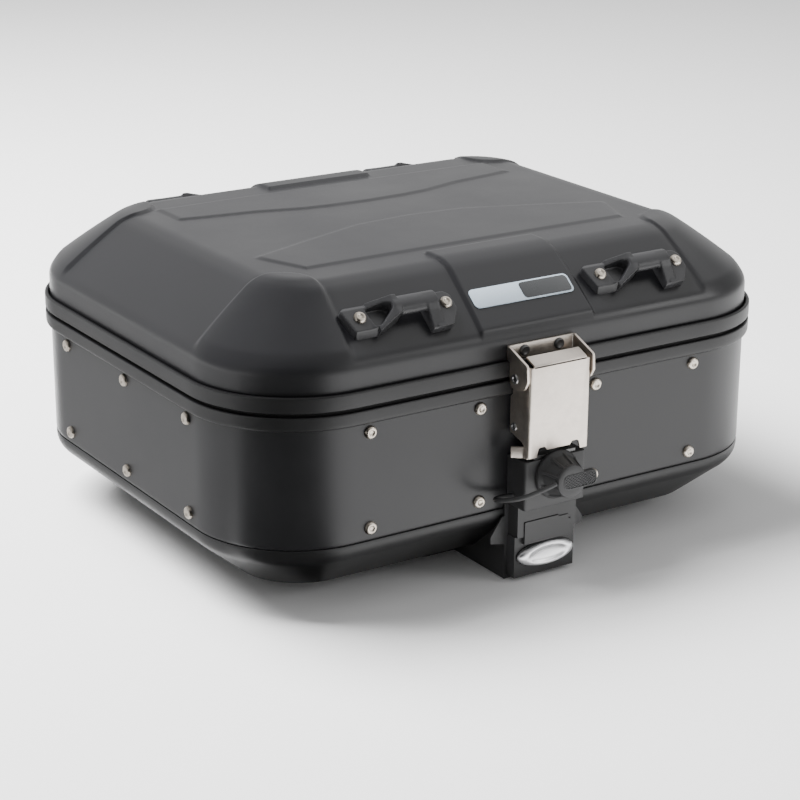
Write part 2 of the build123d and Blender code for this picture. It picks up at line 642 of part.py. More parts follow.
# ---------------------------------------------------------------- foot with the release button
with BuildPart() as foot_housing:
    # body of the foot, following the pan
    with BuildSketch(Plane.YZ.offset(-28.0)):
        with BuildLine():
            Polyline((-186.5, 57.0), (-186.5, 0.0), (-130.0, 0.0), (-130.0, 11.9), (-147.0, 11.9),
                     (-180.0, 39.8), (-184.0, 45.8), (-185.0, 52.5), (-185.0, 57.0), close=True)
        make_face()
    extrude(amount=56.0)
    # collar under the lock column
    with BuildSketch(Plane.XY.offset(34.0)):
        with Locations((0, -191.5)):
            Rectangle(50.6, 13.0)
    extrude(amount=23.0)
    # lower block that carries the button
    with BuildSketch(Plane.XY.offset(3.0)):
        with Locations((0, -190.5)):
            Rectangle(51.6, 10.0)
    extrude(amount=31.0)
    # seat that the button sinks into
    with BuildSketch(Plane.XZ.offset(192.4)):
        with Locations((0, 18.4)):
            Ellipse(24.6, 9.5)
    extrude(amount=6.0, mode=Mode.SUBTRACT)
    # seat of the button carrier
    with BuildSketch(Plane.XZ.offset(195.5)):
        with BuildLine():
            Polyline((-19.9, 27.6), (20.9, 27.6), (20.9, 40.9), (11.8, 40.9), (9.8, 45.4), (-19.9, 45.4), close=True)
        make_face()
    extrude(amount=6.0, mode=Mode.SUBTRACT)
    # gussets at both sides
    for sgn in (-1, 1):
        with BuildSketch(Plane.XZ.offset(185.2)):
            with BuildLine():
                Polyline((sgn * 25.0, 50.0), (sgn * 31.0, 47.0), (sgn * 40.0, 34.0), (sgn * 40.0, 29.0), (sgn * 25.0, 26.0), close=True)
            make_face()
        extrude(amount=1.3)
    # cavity of the button and the return spring
    with BuildSketch(Plane.XY.offset(12.0)):
        with Locations((0, -181.5)):
            Rectangle(19.0, 32.0)
    extrude(amount=13.0, mode=Mode.SUBTRACT)
    # way of the release slide under the pan
    with BuildSketch(Plane.XY.offset(4.8)):
        with Locations((0, -180.0)):
            Rectangle(19.0, 24.0)
    extrude(amount=8.0, mode=Mode.SUBTRACT)
    with BuildSketch(Plane.XY.offset(-0.1)):
        with Locations((0, -150.0)):
            Rectangle(34.0, 41.0)
    extrude(amount=9.6, mode=Mode.SUBTRACT)
save(foot_housing.part, "foot_housing")

with BuildPart() as button_carrier:
    with BuildSketch(Plane.XZ.offset(195.6)):
        with BuildLine():
            Polyline((-19.5, 28.0), (20.5, 28.0), (20.5, 40.5), (11.5, 40.5), (9.5, 45.0), (-19.5, 45.0), close=True)
        make_face()
    extrude(amount=3.2)
    with BuildSketch(Plane.XZ.offset(198.2)):
        with Locations((0, 40.0)):
            Rectangle(37.0, 8.0)
    extrude(amount=0.6)
save(button_carrier.part, "button_carrier")

with BuildPart() as release_button:
    with BuildSketch(Plane.XZ.offset(195.9)):
        with Locations((0, 18.4)):
            Ellipse(24.2, 9.1)
    extrude(amount=4.8)
    fillet(release_button.faces().sort_by(Axis.Y)[0].edges(), radius=1.5)
save(release_button.part, "release_button")

with BuildPart() as release_slide:
    # rib behind the button, plate under the pan, hook that grips the rack
    with BuildSketch(Plane.XY.offset(12.4)):
        with Locations((0, -192.45)):
            Rectangle(16.0, 6.9)
    extrude(amount=10.6)
    with BuildSketch(Plane.XY.offset(6.0)):
        with Locations((0, -190.2)):
            Rectangle(16.0, 2.4)
    extrude(amount=17.0)
    with BuildSketch(Plane.XY.offset(6.0)):
        with Locations((0, -165.2)):
            Rectangle(16.0, 52.4)
    extrude(amount=2.5)
    with BuildSketch(Plane.XY.offset(1.2)):
        with Locations((0, -140.75)):
            Rectangle(24.0, 3.5)
    extrude(amount=7.3)
    with BuildSketch(Plane.XY.offset(1.2)):
        with Locations((0, -144.5)):
            Rectangle(24.0, 6.0)
    extrude(amount=2.4)
save(release_slide.part, "release_slide")

with BuildPart() as release_spring:
    with BuildLine() as coil:
        Helix(pitch=3.2, height=22.4, radius=3.0, center=(0, -188.6, 17.5), direction=(0, 1, 0))
    with BuildSketch(Plane(origin=coil.line @ 0, z_dir=coil.line % 0)):
        Circle(0.4)
    sweep(is_frenet=True)
save(release_spring.part, "release_spring")

# ---------------------------------------------------------------- base frame under the pan
with BuildPart() as base_frame:
    with BuildSketch():
        with Locations((0, 14.0)):
            RectangleRounded(124.0, 276.0, 12.0)
        with Locations((0, -126.5)):
            Rectangle(56.0, 7.0)
    extrude(amount=z_pan)
    # lightening pockets on the underside, between flat webs
    with BuildSketch(Plane.XY.offset(-0.1)):
        with Locations((-30, -66), (30, -66), (-30, -16), (30, -16), (-30, 52), (30, 52), (-30, 98), (30, 98)):
            RectangleRounded(38.0, 36.0, 7.0)
    extrude(amount=8.1, mode=Mode.SUBTRACT)
    # two sockets in the rear edge for the prongs of a rack
    with BuildSketch(Plane.XZ.offset(-152.1)):
        with Locations((-30, 6.0), (30, 6.0)):
            Rectangle(22.0, 6.4)
    extrude(amount=16.0, mode=Mode.SUBTRACT)
    # screws enter from below
    with BuildSketch(Plane.XY.offset(-0.1)):
        with Locations((-45, -100), (45, -100), (-45, 20), (45, 20), (-45, 130), (45, 130)):
            Circle(5.0)
    extrude(amount=6.1, mode=Mode.SUBTRACT)
    with BuildSketch(Plane.XY.offset(-0.1)):
        with Locations((-45, -100), (45, -100), (-45, 20), (45, 20), (-45, 130), (45, 130)):
            Circle(2.6)
    extrude(amount=20.0, mode=Mode.SUBTRACT)
save(base_frame.part, "base_frame")

with BuildPart() as base_screws:
    with BuildSketch(Plane.XY.offset(2.4)):
        with Locations((-45, -100), (45, -100), (-45, 20), (45, 20), (-45, 130), (45, 130)):
            Circle(4.4)
            RegularPolygon(2.3, 6, mode=Mode.SUBTRACT)
    extrude(amount=3.6)
    with BuildSketch(Plane.XY.offset(5.2)):
        with Locations((-45, -100), (45, -100), (-45, 20), (45, 20), (-45, 130), (45, 130)):
            Circle(2.5)
    extrude(amount=12.6)
    with BuildSketch(Plane.XY.offset(z_pan + flange_t)):
        with Locations((-45, -100), (45, -100), (-45, 20), (45, 20), (-45, 130), (45, 130)):
            RegularPolygon(5.0, 6)
    extrude(amount=4.0)
save(base_screws.part, "base_screws")

# ---------------------------------------------------------------- hinges
pin_h = (195.0, 150.05)     # hinge axis (y, z)
kn_r = 4.6
for side, cx in (("left", -94.0), ("right", 94.0)):
    with BuildPart() as body_leaf:
        with BuildSketch(Plane.YZ.offset(cx - 25.0)):
            with BuildLine():
                Polyline((half_w, 102.0), (half_w + 2.2, 102.0), (half_w + 2.2, 134.0), (191.6, 138.0), (191.6, 146.0),
                         (193.6, 150.0), (190.9, 150.0), (188.9, 146.6), (188.9, 137.2), (half_w, 136.2), close=True)
            make_face()
        extrude(amount=50.0)
        with BuildSketch(Plane.YZ.offset(cx - 25.0)):
            with Locations(pin_h):
                Circle(kn_r)
        extrude(amount=50.0)
        # gap for the lid leaf's knuckle
        with BuildSketch(Plane.YZ.offset(cx - 9.3)):
            with Locations((196.0, 151.0)):
                Rectangle(15.0, 13.0)
        extrude(amount=18.6, mode=Mode.SUBTRACT)
        # the leaf stays clear of the upper rim
        with BuildSketch(Plane.YZ.offset(cx - 30.0)):
            with Locations(pin_h):
                Circle(2.55)
        extrude(amount=60.0, mode=Mode.SUBTRACT)
        with BuildSketch(Plane.XZ.offset(-half_w + 1)):
            with Locations((cx - 16, 112.0), (cx + 16, 112.0)):
                Circle(2.1)
        extrude(amount=-6.0, mode=Mode.SUBTRACT)
    save(body_leaf.part, f"hinge_body_leaf_{side}")

    with BuildPart() as lid_leaf:
        with BuildSketch(Plane.YZ.offset(cx - 25.0)):
            with BuildLine():
                Polyline((half_w, 180.0), (half_w + 2.2, 180.0), (half_w + 2.2, 165.6), (191.6, 163.2), (191.6, 158.0),
                         (189.0, 157.4), (189.0, 162.9), (half_w, 163.4), close=True)
            make_face()
        extrude(amount=50.0)
        with BuildSketch(Plane.YZ.offset(cx - 9.0)):
            with BuildLine():
                Polyline((191.6, 160.0), (191.6, 153.0), (193.6, 150.0), (190.9, 150.0), (189.0, 153.0), (189.0, 160.0), close=True)
            make_face()
        extrude(amount=18.0)
        with BuildSketch(Plane.YZ.offset(cx - 9.0)):
            with Locations(pin_h):
                Circle(kn_r)
        extrude(amount=18.0)
        with BuildSketch(Plane.YZ.offset(cx - 30.0)):
            with Locations(pin_h):
                Circle(2.55)
        extrude(amount=60.0, mode=Mode.SUBTRACT)
        with BuildSketch(Plane.XZ.offset(-half_w + 1)):
            with Locations((cx - 16, 172.0), (cx + 16, 172.0)):
                Circle(2.1)
        extrude(amount=-6.0, mode=Mode.SUBTRACT)
    save(lid_leaf.part, f"hinge_lid_leaf_{side}")

    with BuildPart() as hinge_pin:
        with BuildSketch(Plane.YZ.offset(cx - 26.2)):
            with Locations(pin_h):
                Circle(3.4)
        extrude(amount=1.2)
        with BuildSketch(Plane.YZ.offset(cx - 25.2)):
            with Locations(pin_h):
                Circle(2.5)
        extrude(amount=50.4)
        with BuildSketch(Plane.YZ.offset(cx + 25.0)):
            with Locations(pin_h):
                Circle(3.4)
        extrude(amount=1.2)
    save(hinge_pin.part, f"hinge_pin_{side}")

for name, z in (("hinge_rivets_body", 112.0), ("hinge_rivets_lid", 172.0)):
    with BuildPart() as hinge_rivets:
        with BuildSketch(Plane.XZ.offset(-half_w - 2.2)):
            with Locations(*[(x + d, z) for x in (-94, 94) for d in (-16, 16)]):
                Circle(4.0)
        extrude(amount=-1.9, taper=15)
        with BuildSketch(Plane.XZ.offset(-half_w - 2.4)):
            with Locations(*[(x + d, z) for x in (-94, 94) for d in (-16, 16)]):
                Circle(2.0)
        extrude(amount=5.4)
        with BuildSketch(Plane.XZ.offset(-half_w + 2.0)):
            with Locations(*[(x + d, z) for x in (-94, 94) for d in (-16, 16)]):
                Circle(3.4)
        extrude(amount=1.3)
    save(hinge_rivets.part, name)
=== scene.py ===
import math

import bmesh
import bpy
import numpy as np
from mathutils import Matrix, Vector


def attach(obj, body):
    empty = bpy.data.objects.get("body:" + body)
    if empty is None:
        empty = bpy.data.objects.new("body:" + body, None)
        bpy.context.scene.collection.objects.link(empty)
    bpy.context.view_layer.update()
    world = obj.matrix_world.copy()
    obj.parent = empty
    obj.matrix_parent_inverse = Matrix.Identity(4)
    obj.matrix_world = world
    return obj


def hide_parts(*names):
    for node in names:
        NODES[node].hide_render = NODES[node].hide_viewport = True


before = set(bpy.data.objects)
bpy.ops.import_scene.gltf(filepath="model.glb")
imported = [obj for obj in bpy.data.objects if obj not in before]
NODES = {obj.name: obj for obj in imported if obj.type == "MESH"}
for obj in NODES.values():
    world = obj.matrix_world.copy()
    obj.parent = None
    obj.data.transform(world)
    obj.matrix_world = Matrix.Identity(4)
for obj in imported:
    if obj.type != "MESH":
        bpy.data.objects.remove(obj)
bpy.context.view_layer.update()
MM = 0.001

# ------------------------------------------------------------------ materials


def new_mat(name):
    m = bpy.data.materials.new(name)
    m.use_nodes = True
    nt = m.node_tree
    b = nt.nodes["Principled BSDF"]
    tc = nt.nodes.new("ShaderNodeTexCoord")
    return m, nt, b, tc.outputs["Object"]


def noise(nt, vec, scale, detail=3.0, rough=0.5):
    n = nt.nodes.new("ShaderNodeTexNoise")
    n.inputs["Scale"].default_value = scale
    n.inputs["Detail"].default_value = detail
    n.inputs["Roughness"].default_value = rough
    nt.links.new(vec, n.inputs["Vector"])
    return n.outputs["Fac"]


def remap(nt, fac, lo, hi, a=0.3, b=0.7):
    r = nt.nodes.new("ShaderNodeMapRange")
    r.inputs["From Min"].default_value = a
    r.inputs["From Max"].default_value = b
    r.inputs["To Min"].default_value = lo
    r.inputs["To Max"].default_value = hi
    nt.links.new(fac, r.inputs["Value"])
    return r.outputs["Result"]


def mix(nt, fac, c1, c2):
    m = nt.nodes.new("ShaderNodeMix")
    m.data_type = "RGBA"
    m.inputs["A"].default_value = (*c1, 1)
    m.inputs["B"].default_value = (*c2, 1)
    nt.links.new(fac, m.inputs["Factor"])
    return m.outputs["Result"]


def edge(nt, lo=0.52, hi=0.60):
    g = nt.nodes.new("ShaderNodeNewGeometry")
    r = nt.nodes.new("ShaderNodeMapRange")
    r.inputs["From Min"].default_value = lo
    r.inputs["From Max"].default_value = hi
    nt.links.new(g.outputs["Pointiness"], r.inputs["Value"])
    return r.outputs["Result"]


def bump(nt, b, heights):
    """heights: list of (value socket, strength, distance in metres)."""
    prev = None
    for h, st, d in heights:
        n = nt.nodes.new("ShaderNodeBump")
        n.inputs["Strength"].default_value = st
        n.inputs["Distance"].default_value = d
        nt.links.new(h, n.inputs["Height"])
        if prev is not None:
            nt.links.new(prev, n.inputs["Normal"])
        prev = n.outputs["Normal"]
    nt.links.new(prev, b.inputs["Normal"])


def surface(name, dark, light, rough, grain=2200.0, grain_d=0.00003, grain_s=0.5, big=14.0, metallic=0.0, worn=None,
            spec=0.5, coat=0.0, rough_var=0.05, peel=None, wear=(0.53, 0.62)):
    m, nt, b, vec = new_mat(name)
    g1 = noise(nt, vec, grain, 2.0, 0.6)
    g2 = noise(nt, vec, big, 4.0, 0.55)
    col = mix(nt, remap(nt, g2, 0.0, 1.0), dark, light)
    if worn is not None:
        mm = nt.nodes.new("ShaderNodeMix")
        mm.data_type = "RGBA"
        nt.links.new(col, mm.inputs["A"])
        mm.inputs["B"].default_value = (*worn, 1)
        nt.links.new(edge(nt, *wear), mm.inputs["Factor"])
        col = mm.outputs["Result"]
    nt.links.new(col, b.inputs["Base Color"])
    ad = nt.nodes.new("ShaderNodeMath")
    ad.operation = "ADD"
    nt.links.new(remap(nt, g2, rough - rough_var, rough + rough_var), ad.inputs[0])
    nt.links.new(remap(nt, g1, -0.03, 0.03), ad.inputs[1])
    nt.links.new(ad.outputs[0], b.inputs["Roughness"])
    b.inputs["Metallic"].default_value = metallic
    b.inputs["Specular IOR Level"].default_value = spec
    b.inputs["Coat Weight"].default_value = coat
    b.inputs["Coat Roughness"].default_value = 0.12
    hs = [(g1, grain_s, grain_d)]
    if peel:
        hs.insert(0, (noise(nt, vec, peel[0], 2.0, 0.5), peel[1], peel[2]))
    bump(nt, b, hs)
    return m


M = {}
M["powder"] = surface("satin_black_powder", (0.007, 0.007, 0.008), (0.011, 0.011, 0.0125), 0.35, grain=2600, grain_d=0.00002,
                      grain_s=0.35, big=9, worn=(0.03, 0.03, 0.032), peel=(420, 0.25, 0.00004))
# pan: the same satin black powder coat as the lid and panels, painted darker for the shade under the case, and a little
# rougher
M["pan"] = surface("satin_black_pan_painted_shade", (0.006, 0.006, 0.0065), (0.009, 0.009, 0.0095), 0.40, grain=2600, grain_d=0.00002,
                   grain_s=0.35, big=9, worn=(0.03, 0.03, 0.032), peel=(420, 0.25, 0.00004))
M["rim"] = surface("rim_grained_plastic", (0.006, 0.006, 0.0065), (0.009, 0.009, 0.0095), 0.46, grain=1700, grain_d=0.00006,
                   grain_s=0.6, big=12, worn=(0.022, 0.022, 0.023))
M["housing"] = surface("housing_grained_plastic", (0.017, 0.017, 0.0175), (0.024, 0.024, 0.0245), 0.46, grain=1500,
                       grain_d=0.00007, grain_s=0.6, big=30, worn=(0.028, 0.028, 0.03))
M["rubber"] = surface("moulded_rubber", (0.018, 0.018, 0.0185), (0.028, 0.028, 0.029), 0.52, grain=1200, grain_d=0.00006,
                      grain_s=0.5, big=60, worn=(0.045, 0.045, 0.047))
M["seal"] = surface("seal_rubber", (0.004, 0.004, 0.004), (0.006, 0.006, 0.006), 0.75, grain=900, grain_d=0.00005)
M["mat"] = surface("floor_mat_rubber", (0.02, 0.02, 0.021), (0.032, 0.032, 0.033), 0.7, grain=800, grain_d=0.0001)
M["handle"] = surface("cast_handle_coat", (0.017, 0.017, 0.018), (0.026, 0.026, 0.028), 0.36, grain=1500, grain_d=0.00008,
                      grain_s=0.6, big=40, worn=(0.10, 0.10, 0.105), wear=(0.54, 0.68))
M["rivet"] = surface("rivet_metal", (0.60, 0.54, 0.46), (0.72, 0.66, 0.58), 0.36, grain=1500, grain_d=0.00002, grain_s=0.4,
                     big=200, metallic=1.0)
M["rivet_dark"] = surface("rivet_dark", (0.10, 0.10, 0.10), (0.16, 0.16, 0.16), 0.34, grain=1500, grain_d=0.00002, grain_s=0.4,
                          big=200, metallic=0.8)
M["steel"] = surface("beadblasted_stainless", (0.66, 0.595, 0.53), (0.80, 0.73, 0.655), 0.40, grain=1300, grain_d=0.00004,
                     grain_s=0.6, big=160, metallic=1.0, worn=(0.82, 0.80, 0.77), wear=(0.54, 0.66))
M["pin"] = surface("zinc_plated_steel", (0.42, 0.42, 0.42), (0.55, 0.55, 0.54), 0.33, grain=1500, grain_d=0.00002, big=90,
                   metallic=1.0)
M["chrome"] = surface("polished_lock_metal", (0.72, 0.72, 0.73), (0.80, 0.80, 0.81), 0.14, grain=1500, grain_d=0.00001,
                      grain_s=0.2, big=60, metallic=1.0, rough_var=0.03)
M["button"] = surface("satin_silver_button", (0.80, 0.80, 0.81), (0.90, 0.90, 0.91), 0.33, grain=1700, grain_d=0.00001,
                      grain_s=0.3, big=60, metallic=1.0, rough_var=0.03)
M["hinge"] = surface("hinge_black_coat", (0.012, 0.012, 0.013), (0.018, 0.018, 0.019), 0.42, grain=1600, grain_d=0.00004,
                     big=40, worn=(0.05, 0.05, 0.052))
M["badge_pale"] = surface("badge_pale_print", (0.42, 0.50, 0.58), (0.46, 0.54, 0.61), 0.25, grain=900, grain_d=0.000004,
                          big=25, coat=0.6)
M["badge_dark"] = surface("badge_dark_print", (0.012, 0.014, 0.016), (0.018, 0.02, 0.022), 0.22, grain=900,
                          grain_d=0.000004, big=25, coat=0.6)

# ------------------------------------------------------------------ mesh helpers


def to_obj(name, verts, faces, mat, smooth=True, angle=None):
    me = bpy.data.meshes.new(name)
    me.from_pydata([tuple(v) for v in np.asarray(verts, float) * MM], [], faces)
    me.validate()
    bm = bmesh.new()
    bm.from_mesh(me)
    bmesh.ops.remove_doubles(bm, verts=bm.verts, dist=2e-6)
    bmesh.ops.recalc_face_normals(bm, faces=bm.faces)
    bm.to_mesh(me)
    bm.free()
    o = bpy.data.objects.new(name, me)
    bpy.context.scene.collection.objects.link(o)
    me.materials.append(mat)
    if smooth:
        me.polygons.foreach_set("use_smooth", [True] * len(me.polygons))
        if angle:
            me.set_sharp_from_angle(angle=math.radians(angle))
    return o


def bake(o):
    """Applies the piece's modifiers."""
    dg = bpy.context.evaluated_depsgraph_get()
    dg.update()
    me = bpy.data.meshes.new_from_object(o.evaluated_get(dg), depsgraph=dg)
    old = o.data
    o.modifiers.clear()
    o.data = me
    me.name = o.name
    bpy.data.meshes.remove(old)
    return o


def prism(name, pts, plane, h0, h1, mat):
    """Closed prism: 2-D outline on a plane (origin, x, y, normal), from height h0 to h1."""
    o, ex, ey, en = [np.array(a, float) for a in plane]
    n = len(pts)
    v = [o + ex * p[0] + ey * p[1] + en * h for h in (h0, h1) for p in pts]
    f = [tuple(range(n)), tuple(range(n, 2 * n))] + [(i, (i + 1) % n, n + (i + 1) % n, n + i) for i in range(n)]
    ob = to_obj(name, v, f, mat, smooth=False)
    return ob


def round_poly(pts, radii, seg=5):
    """2-D outline with its corners rounded."""
    out = []
    n = len(pts)
    if not hasattr(radii, "__len__"):
        radii = [radii] * n
    for i in range(n):
        p, a, b = [np.array(pts[j], float) for j in (i, i - 1, (i + 1) % n)]
        u, v = a - p, b - p
        lu, lv = np.linalg.norm(u), np.linalg.norm(v)
        u, v = u / lu, v / lv
        ang = math.acos(max(-1, min(1, float(u @ v))))
        r = radii[i]
        if r <= 0 or ang > math.radians(178):
            out.append(p)
            continue
        t = min(r / math.tan(ang / 2), 0.48 * lu, 0.48 * lv)
        p0, p1 = p + u * t, p + v * t
        for k in range(seg + 1):
            w = k / seg
            out.append((1 - w) ** 2 * p0 + 2 * w * (1 - w) * p + w ** 2 * p1)
    return out


def boolean(o, cutter, op="DIFFERENCE"):
    m = o.modifiers.new("b", "BOOLEAN")
    m.operation = op
    m.solver = "EXACT"
    m.object = cutter
    bake(o)
    bpy.data.objects.remove(cutter)
    return o


def bevel(o, width, seg=3, angle=28, sharp=None):
    m = o.modifiers.new("bevel", "BEVEL")
    m.width = width * MM
    m.segments = seg
    m.limit_method = "ANGLE"
    m.angle_limit = math.radians(angle)
    m.harden_normals = False
    m.use_clamp_overlap = True
    bake(o)
    me = o.data
    me.polygons.foreach_set("use_smooth", [True] * len(me.polygons))
    me.set_sharp_from_angle(angle=math.radians(sharp or 40))
    return o


def remesh(o, voxel, smooth=6, factor=0.5):
    """Merges and softens a moulded or cast shape."""
    m = o.modifiers.new("r", "REMESH")
    m.mode = "VOXEL"
    m.voxel_size = voxel * MM
    m.adaptivity = 0.0
    s = o.modifiers.new("s", "SMOOTH")
    s.iterations = smooth
    s.factor = factor
    bake(o)
    o.data.polygons.foreach_set("use_smooth", [True] * len(o.data.polygons))
    return o


def join(obs, name):
    base = obs[0]
    bm = bmesh.new()
    mats = []
    for o in obs:
        for mt in o.data.materials:
            if mt not in mats:
                mats.append(mt)
    for o in obs:
        remap_i = [mats.index(mt) for mt in o.data.materials]
        k = len(bm.faces)
        bm.from_mesh(o.data)
        bm.faces.ensure_lookup_table()
        for f in bm.faces[k:]:
            f.material_index = remap_i[f.material_index] if remap_i else 0
    me = bpy.data.meshes.new(name)
    bm.to_mesh(me)
    bm.free()
    for mt in mats:
        me.materials.append(mt)
    ob = bpy.data.objects.new(name, me)
    bpy.context.scene.collection.objects.link(ob)
    for o in obs:
        bpy.data.objects.remove(o)
    me.polygons.foreach_set("use_smooth", [True] * len(me.polygons))
    return ob


def put(o, body, slot_name, *nodes):
    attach(o, body)
    if nodes:
        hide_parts(*nodes)
    return o


def lathe(profile, plane, n=48):
    """Vertices and faces of a turned piece: profile of (radius, height), on a plane."""
    o, ex, ey, en = [np.array(a, float) for a in plane]
    v, f = [], []
    rows = []
    for r, h in profile:
        if r < 1e-6:
            rows.append([len(v)] * n)
            v.append(o + en * h)
        else:
            rows.append(list(range(len(v), len(v) + n)))
            for k in range(n):
                a = 2 * math.pi * k / n
                v.append(o + ex * r * math.cos(a) + ey * r * math.sin(a) + en * h)
    for a, b in zip(rows, rows[1:]):
        for k in range(n):
            q = [a[k], a[(k + 1) % n], b[(k + 1) % n], b[k]]
            q = list(dict.fromkeys(q))
            if len(q) >= 3:
                f.append(tuple(q))
    return v, f


def lathes(name, profile, planes, mat, n=48, angle=50):
    V, F = [], []
    for p in planes:
        v, f = lathe(profile, p, n)
        k = len(V)
        V += v
        F += [tuple(i + k for i in q) for q in f]
    return to_obj(name, V, F, mat, True, angle)


# ------------------------------------------------------------------ dimensions, as in the CAD
case_l, case_w, corner_r = 457.0, 369.0, 78.0
half_l, half_w = case_l / 2, case_w / 2
z_pan, z_crease, z_shell = 12.0, 53.0, 146.0
z_band_lo, z_band_hi, z_lid_lo, z_lid_hi = 138.0, 148.6, 151.5, 162.5
z_skirt, z_top = 181.0, 222.5
top_l, top_w = 350.0, 265.0
rise, run_y = z_top - z_skirt, half_w - top_w / 2
slope = math.atan2(rise, run_y)
riv_x = (-138.4, -49.5, 49.5, 138.4)
riv_y = (-95.0, 0.0, 95.0)
z_riv = (62.7, 131.3)
FRONT = ((0, -half_w, 0), (1, 0, 0), (0, 0, 1), (0, -1, 0))


def plane_front(x, z, y=-half_w):
    return ((x, y, z), (1, 0, 0), (0, 0, 1), (0, -1, 0))


def plane_rear(x, z, y=half_w):
    return ((x, y, z), (-1, 0, 0), (0, 0, 1), (0, 1, 0))


def plane_side(y, z, sgn):
    return ((sgn * half_l, y, z), (0, sgn, 0), (0, 0, 1), (sgn, 0, 0))


def slope_plane(x, s, h, front=True):
    g = -1 if front else 1
    y = g * (half_w - s * math.cos(slope) + h * math.sin(slope))
    z = z_skirt + s * math.sin(slope) + h * math.cos(slope)
    ex = (1, 0, 0) if front else (-1, 0, 0)
    ey = (0, -g * math.cos(slope), math.sin(slope))
    return ((x, y, z), ex, ey, (0, g * math.sin(slope), math.cos(slope)))


# ------------------------------------------------------------------ rings of the case
X_IN, Y_IN = 133.0, 90.5


def samples(limit, extra, step):
    base = list(np.linspace(-limit, limit, int(round(2 * limit / step)) + 1))
    for e in extra:
        for d in (-1.7, -0.85, 0.0, 0.85, 1.7):
            base.append(e + d)
    base = sorted(base)
    out = [base[0]]
    for b in base[1:]:
        if b - out[-1] > 0.45:
            out.append(b)
        elif abs(b - limit) < 1e-9:
            out[-1] = b
    return np.array(out)


def corner(hx, hy, r, n):
    """From (X_IN, -hy) round the corner to (hx, -Y_IN), evenly by length."""
    pts = [np.array([X_IN, -hy])]
    cx, cy = hx - r, -hy + r
    for k in range(49):
        a = -math.pi / 2 + math.pi / 2 * k / 48
        pts.append(np.array([cx + r * math.cos(a), cy + r * math.sin(a)]))
    pts.append(np.array([hx, -Y_IN]))
    pts = np.array(pts)
    d = np.r_[0, np.cumsum(np.linalg.norm(np.diff(pts, axis=0), axis=1))]
    t = np.linspace(0, d[-1], n + 1)
    return np.stack([np.interp(t, d, pts[:, 0]), np.interp(t, d, pts[:, 1])], 1)


def ring(hx, hy, r, xs, ys, nc):
    r = max(r, 0.01)
    c = corner(hx, hy, r, nc)
    front = np.stack([xs, np.full(len(xs), -hy)], 1)                       # left to right
    right = np.stack([np.full(len(ys), hx), ys], 1)                        # front to rear
    rear = np.stack([xs[::-1], np.full(len(xs), hy)], 1)
    left = np.stack([np.full(len(ys), -hx), ys[::-1]], 1)
    c1 = c[1:-1]
    c2 = np.stack([c[::-1][:, 0], -c[::-1][:, 1]], 1)[1:-1]                # right rear
    c3 = -c1
    c4 = -c2
    return np.concatenate([front, c1, right, c2, rear, c3, left, c4])


def loft(name, sections, xs, ys, nc, mat, close_first=False, close_last=False):
    """sections: list of (hx, hy, r, z)."""
    V, F = [], []
    n = None
    for hx, hy, r, z in sections:
        p = ring(hx, hy, r, xs, ys, nc)
        n = len(p)
        V.append(np.column_stack([p, np.full(n, z)]))
    m = len(sections)
    for i in range(m - 1):
        for k in range(n):
            F.append((i * n + k, i * n + (k + 1) % n, (i + 1) * n + (k + 1) % n, (i + 1) * n + k))
    V = np.concatenate(V)
    if close_last:
        F.append(tuple(range((m - 1) * n, m * n)))
    if close_first:
        F.append(tuple(range(n))[::-1])
    return to_obj(name, V, F, mat, True, 55)


def closed_loft(name, sections, xs, ys, nc, mat, angle=40):
    """Same, with the last section joined to the first: a closed hoop."""
    V, F = [], []
    for hx, hy, r, z in sections:
        p = ring(hx, hy, r, xs, ys, nc)
        V.append(np.column_stack([p, np.full(len(p), z)]))
    n, m = len(V[0]), len(sections)
    for i in range(m):
        j = (i + 1) % m
        for k in range(n):
            F.append((i * n + k, i * n + (k + 1) % n, j * n + (k + 1) % n, j * n + k))
    return to_obj(name, np.concatenate(V), F, mat, True, angle)


def off(d, z):
    """Section that stands d outside the panels."""
    return (half_l + d, half_w + d, corner_r + d, z)


def arc2(p0, p1, p2, n):
    return [tuple((1 - t) ** 2 * np.array(p0) + 2 * t * (1 - t) * np.array(p1) + t * t * np.array(p2)) for t in np.linspace(0, 1, n)]


# ------------------------------------------------------------------ lid skin
def smooth01(t):
    t = np.clip(t, 0, 1)
    return t * t * (3 - 2 * t)


def emboss(P, s):
    """Height of the pressed panels at plan points P, with s = distance up from the skirt crease."""
    x, y = P[:, 0], P[:, 1]
    ax, ay = np.abs(x), np.abs(y)
    # raised centre panels
    end = np.where(y < 0, 109.0, 110.5)
    half = 46.0 + 2.0 * np.clip(1 - s / 60.0, 0, 1)
    sd = np.minimum(half - ax, ay - end)
    h = 2.2 * smooth01(sd / 2.4 + 0.5) * smooth01((s - 1.0) / 5.0)
    # raised corner caps
    down = np.clip(1 - s / 66.0, 0, 1)
    px, py = ax - (144.5 + 5.0 * down), ay - (96.5 + 8.0 * down)
    r = 24.0
    inner = r - np.hypot(np.minimum(px - r, 0), np.minimum(py - r, 0))
    sd = np.where((px < r) & (py < r), inner, np.minimum(px, py))
    h = h + 1.7 * smooth01(sd / 2.2 + 0.5) * smooth01((s - 2.0) / 9.0)
    # pressed fields of the top
    cf = np.interp(ax, [0, 45, 97, 150, 160], [-16, -19.5, -37, -56, -60])
    left = (ax - 150.0) * 0.93 + (y + 62.0) * -0.36
    f1 = np.minimum(np.minimum(y + 98.5, cf - y), -left)
    cr = np.interp(ax, [0, 30, 55, 90, 130, 148], [37.5, 38.5, 42, 53, 60, 64])
    f2 = np.minimum(np.minimum(y - cr, 99.0 - y), 148.0 - ax)
    fade = smooth01((155.0 - ax) / 8.0)
    h = h + 1.1 * smooth01(f1 / 3.4 + 0.5) * fade * smooth01((s - 60) / 6.0)
    h = h + 1.1 * smooth01(f2 / 3.4 + 0.5) * fade * smooth01((s - 60) / 6.0)
    return h


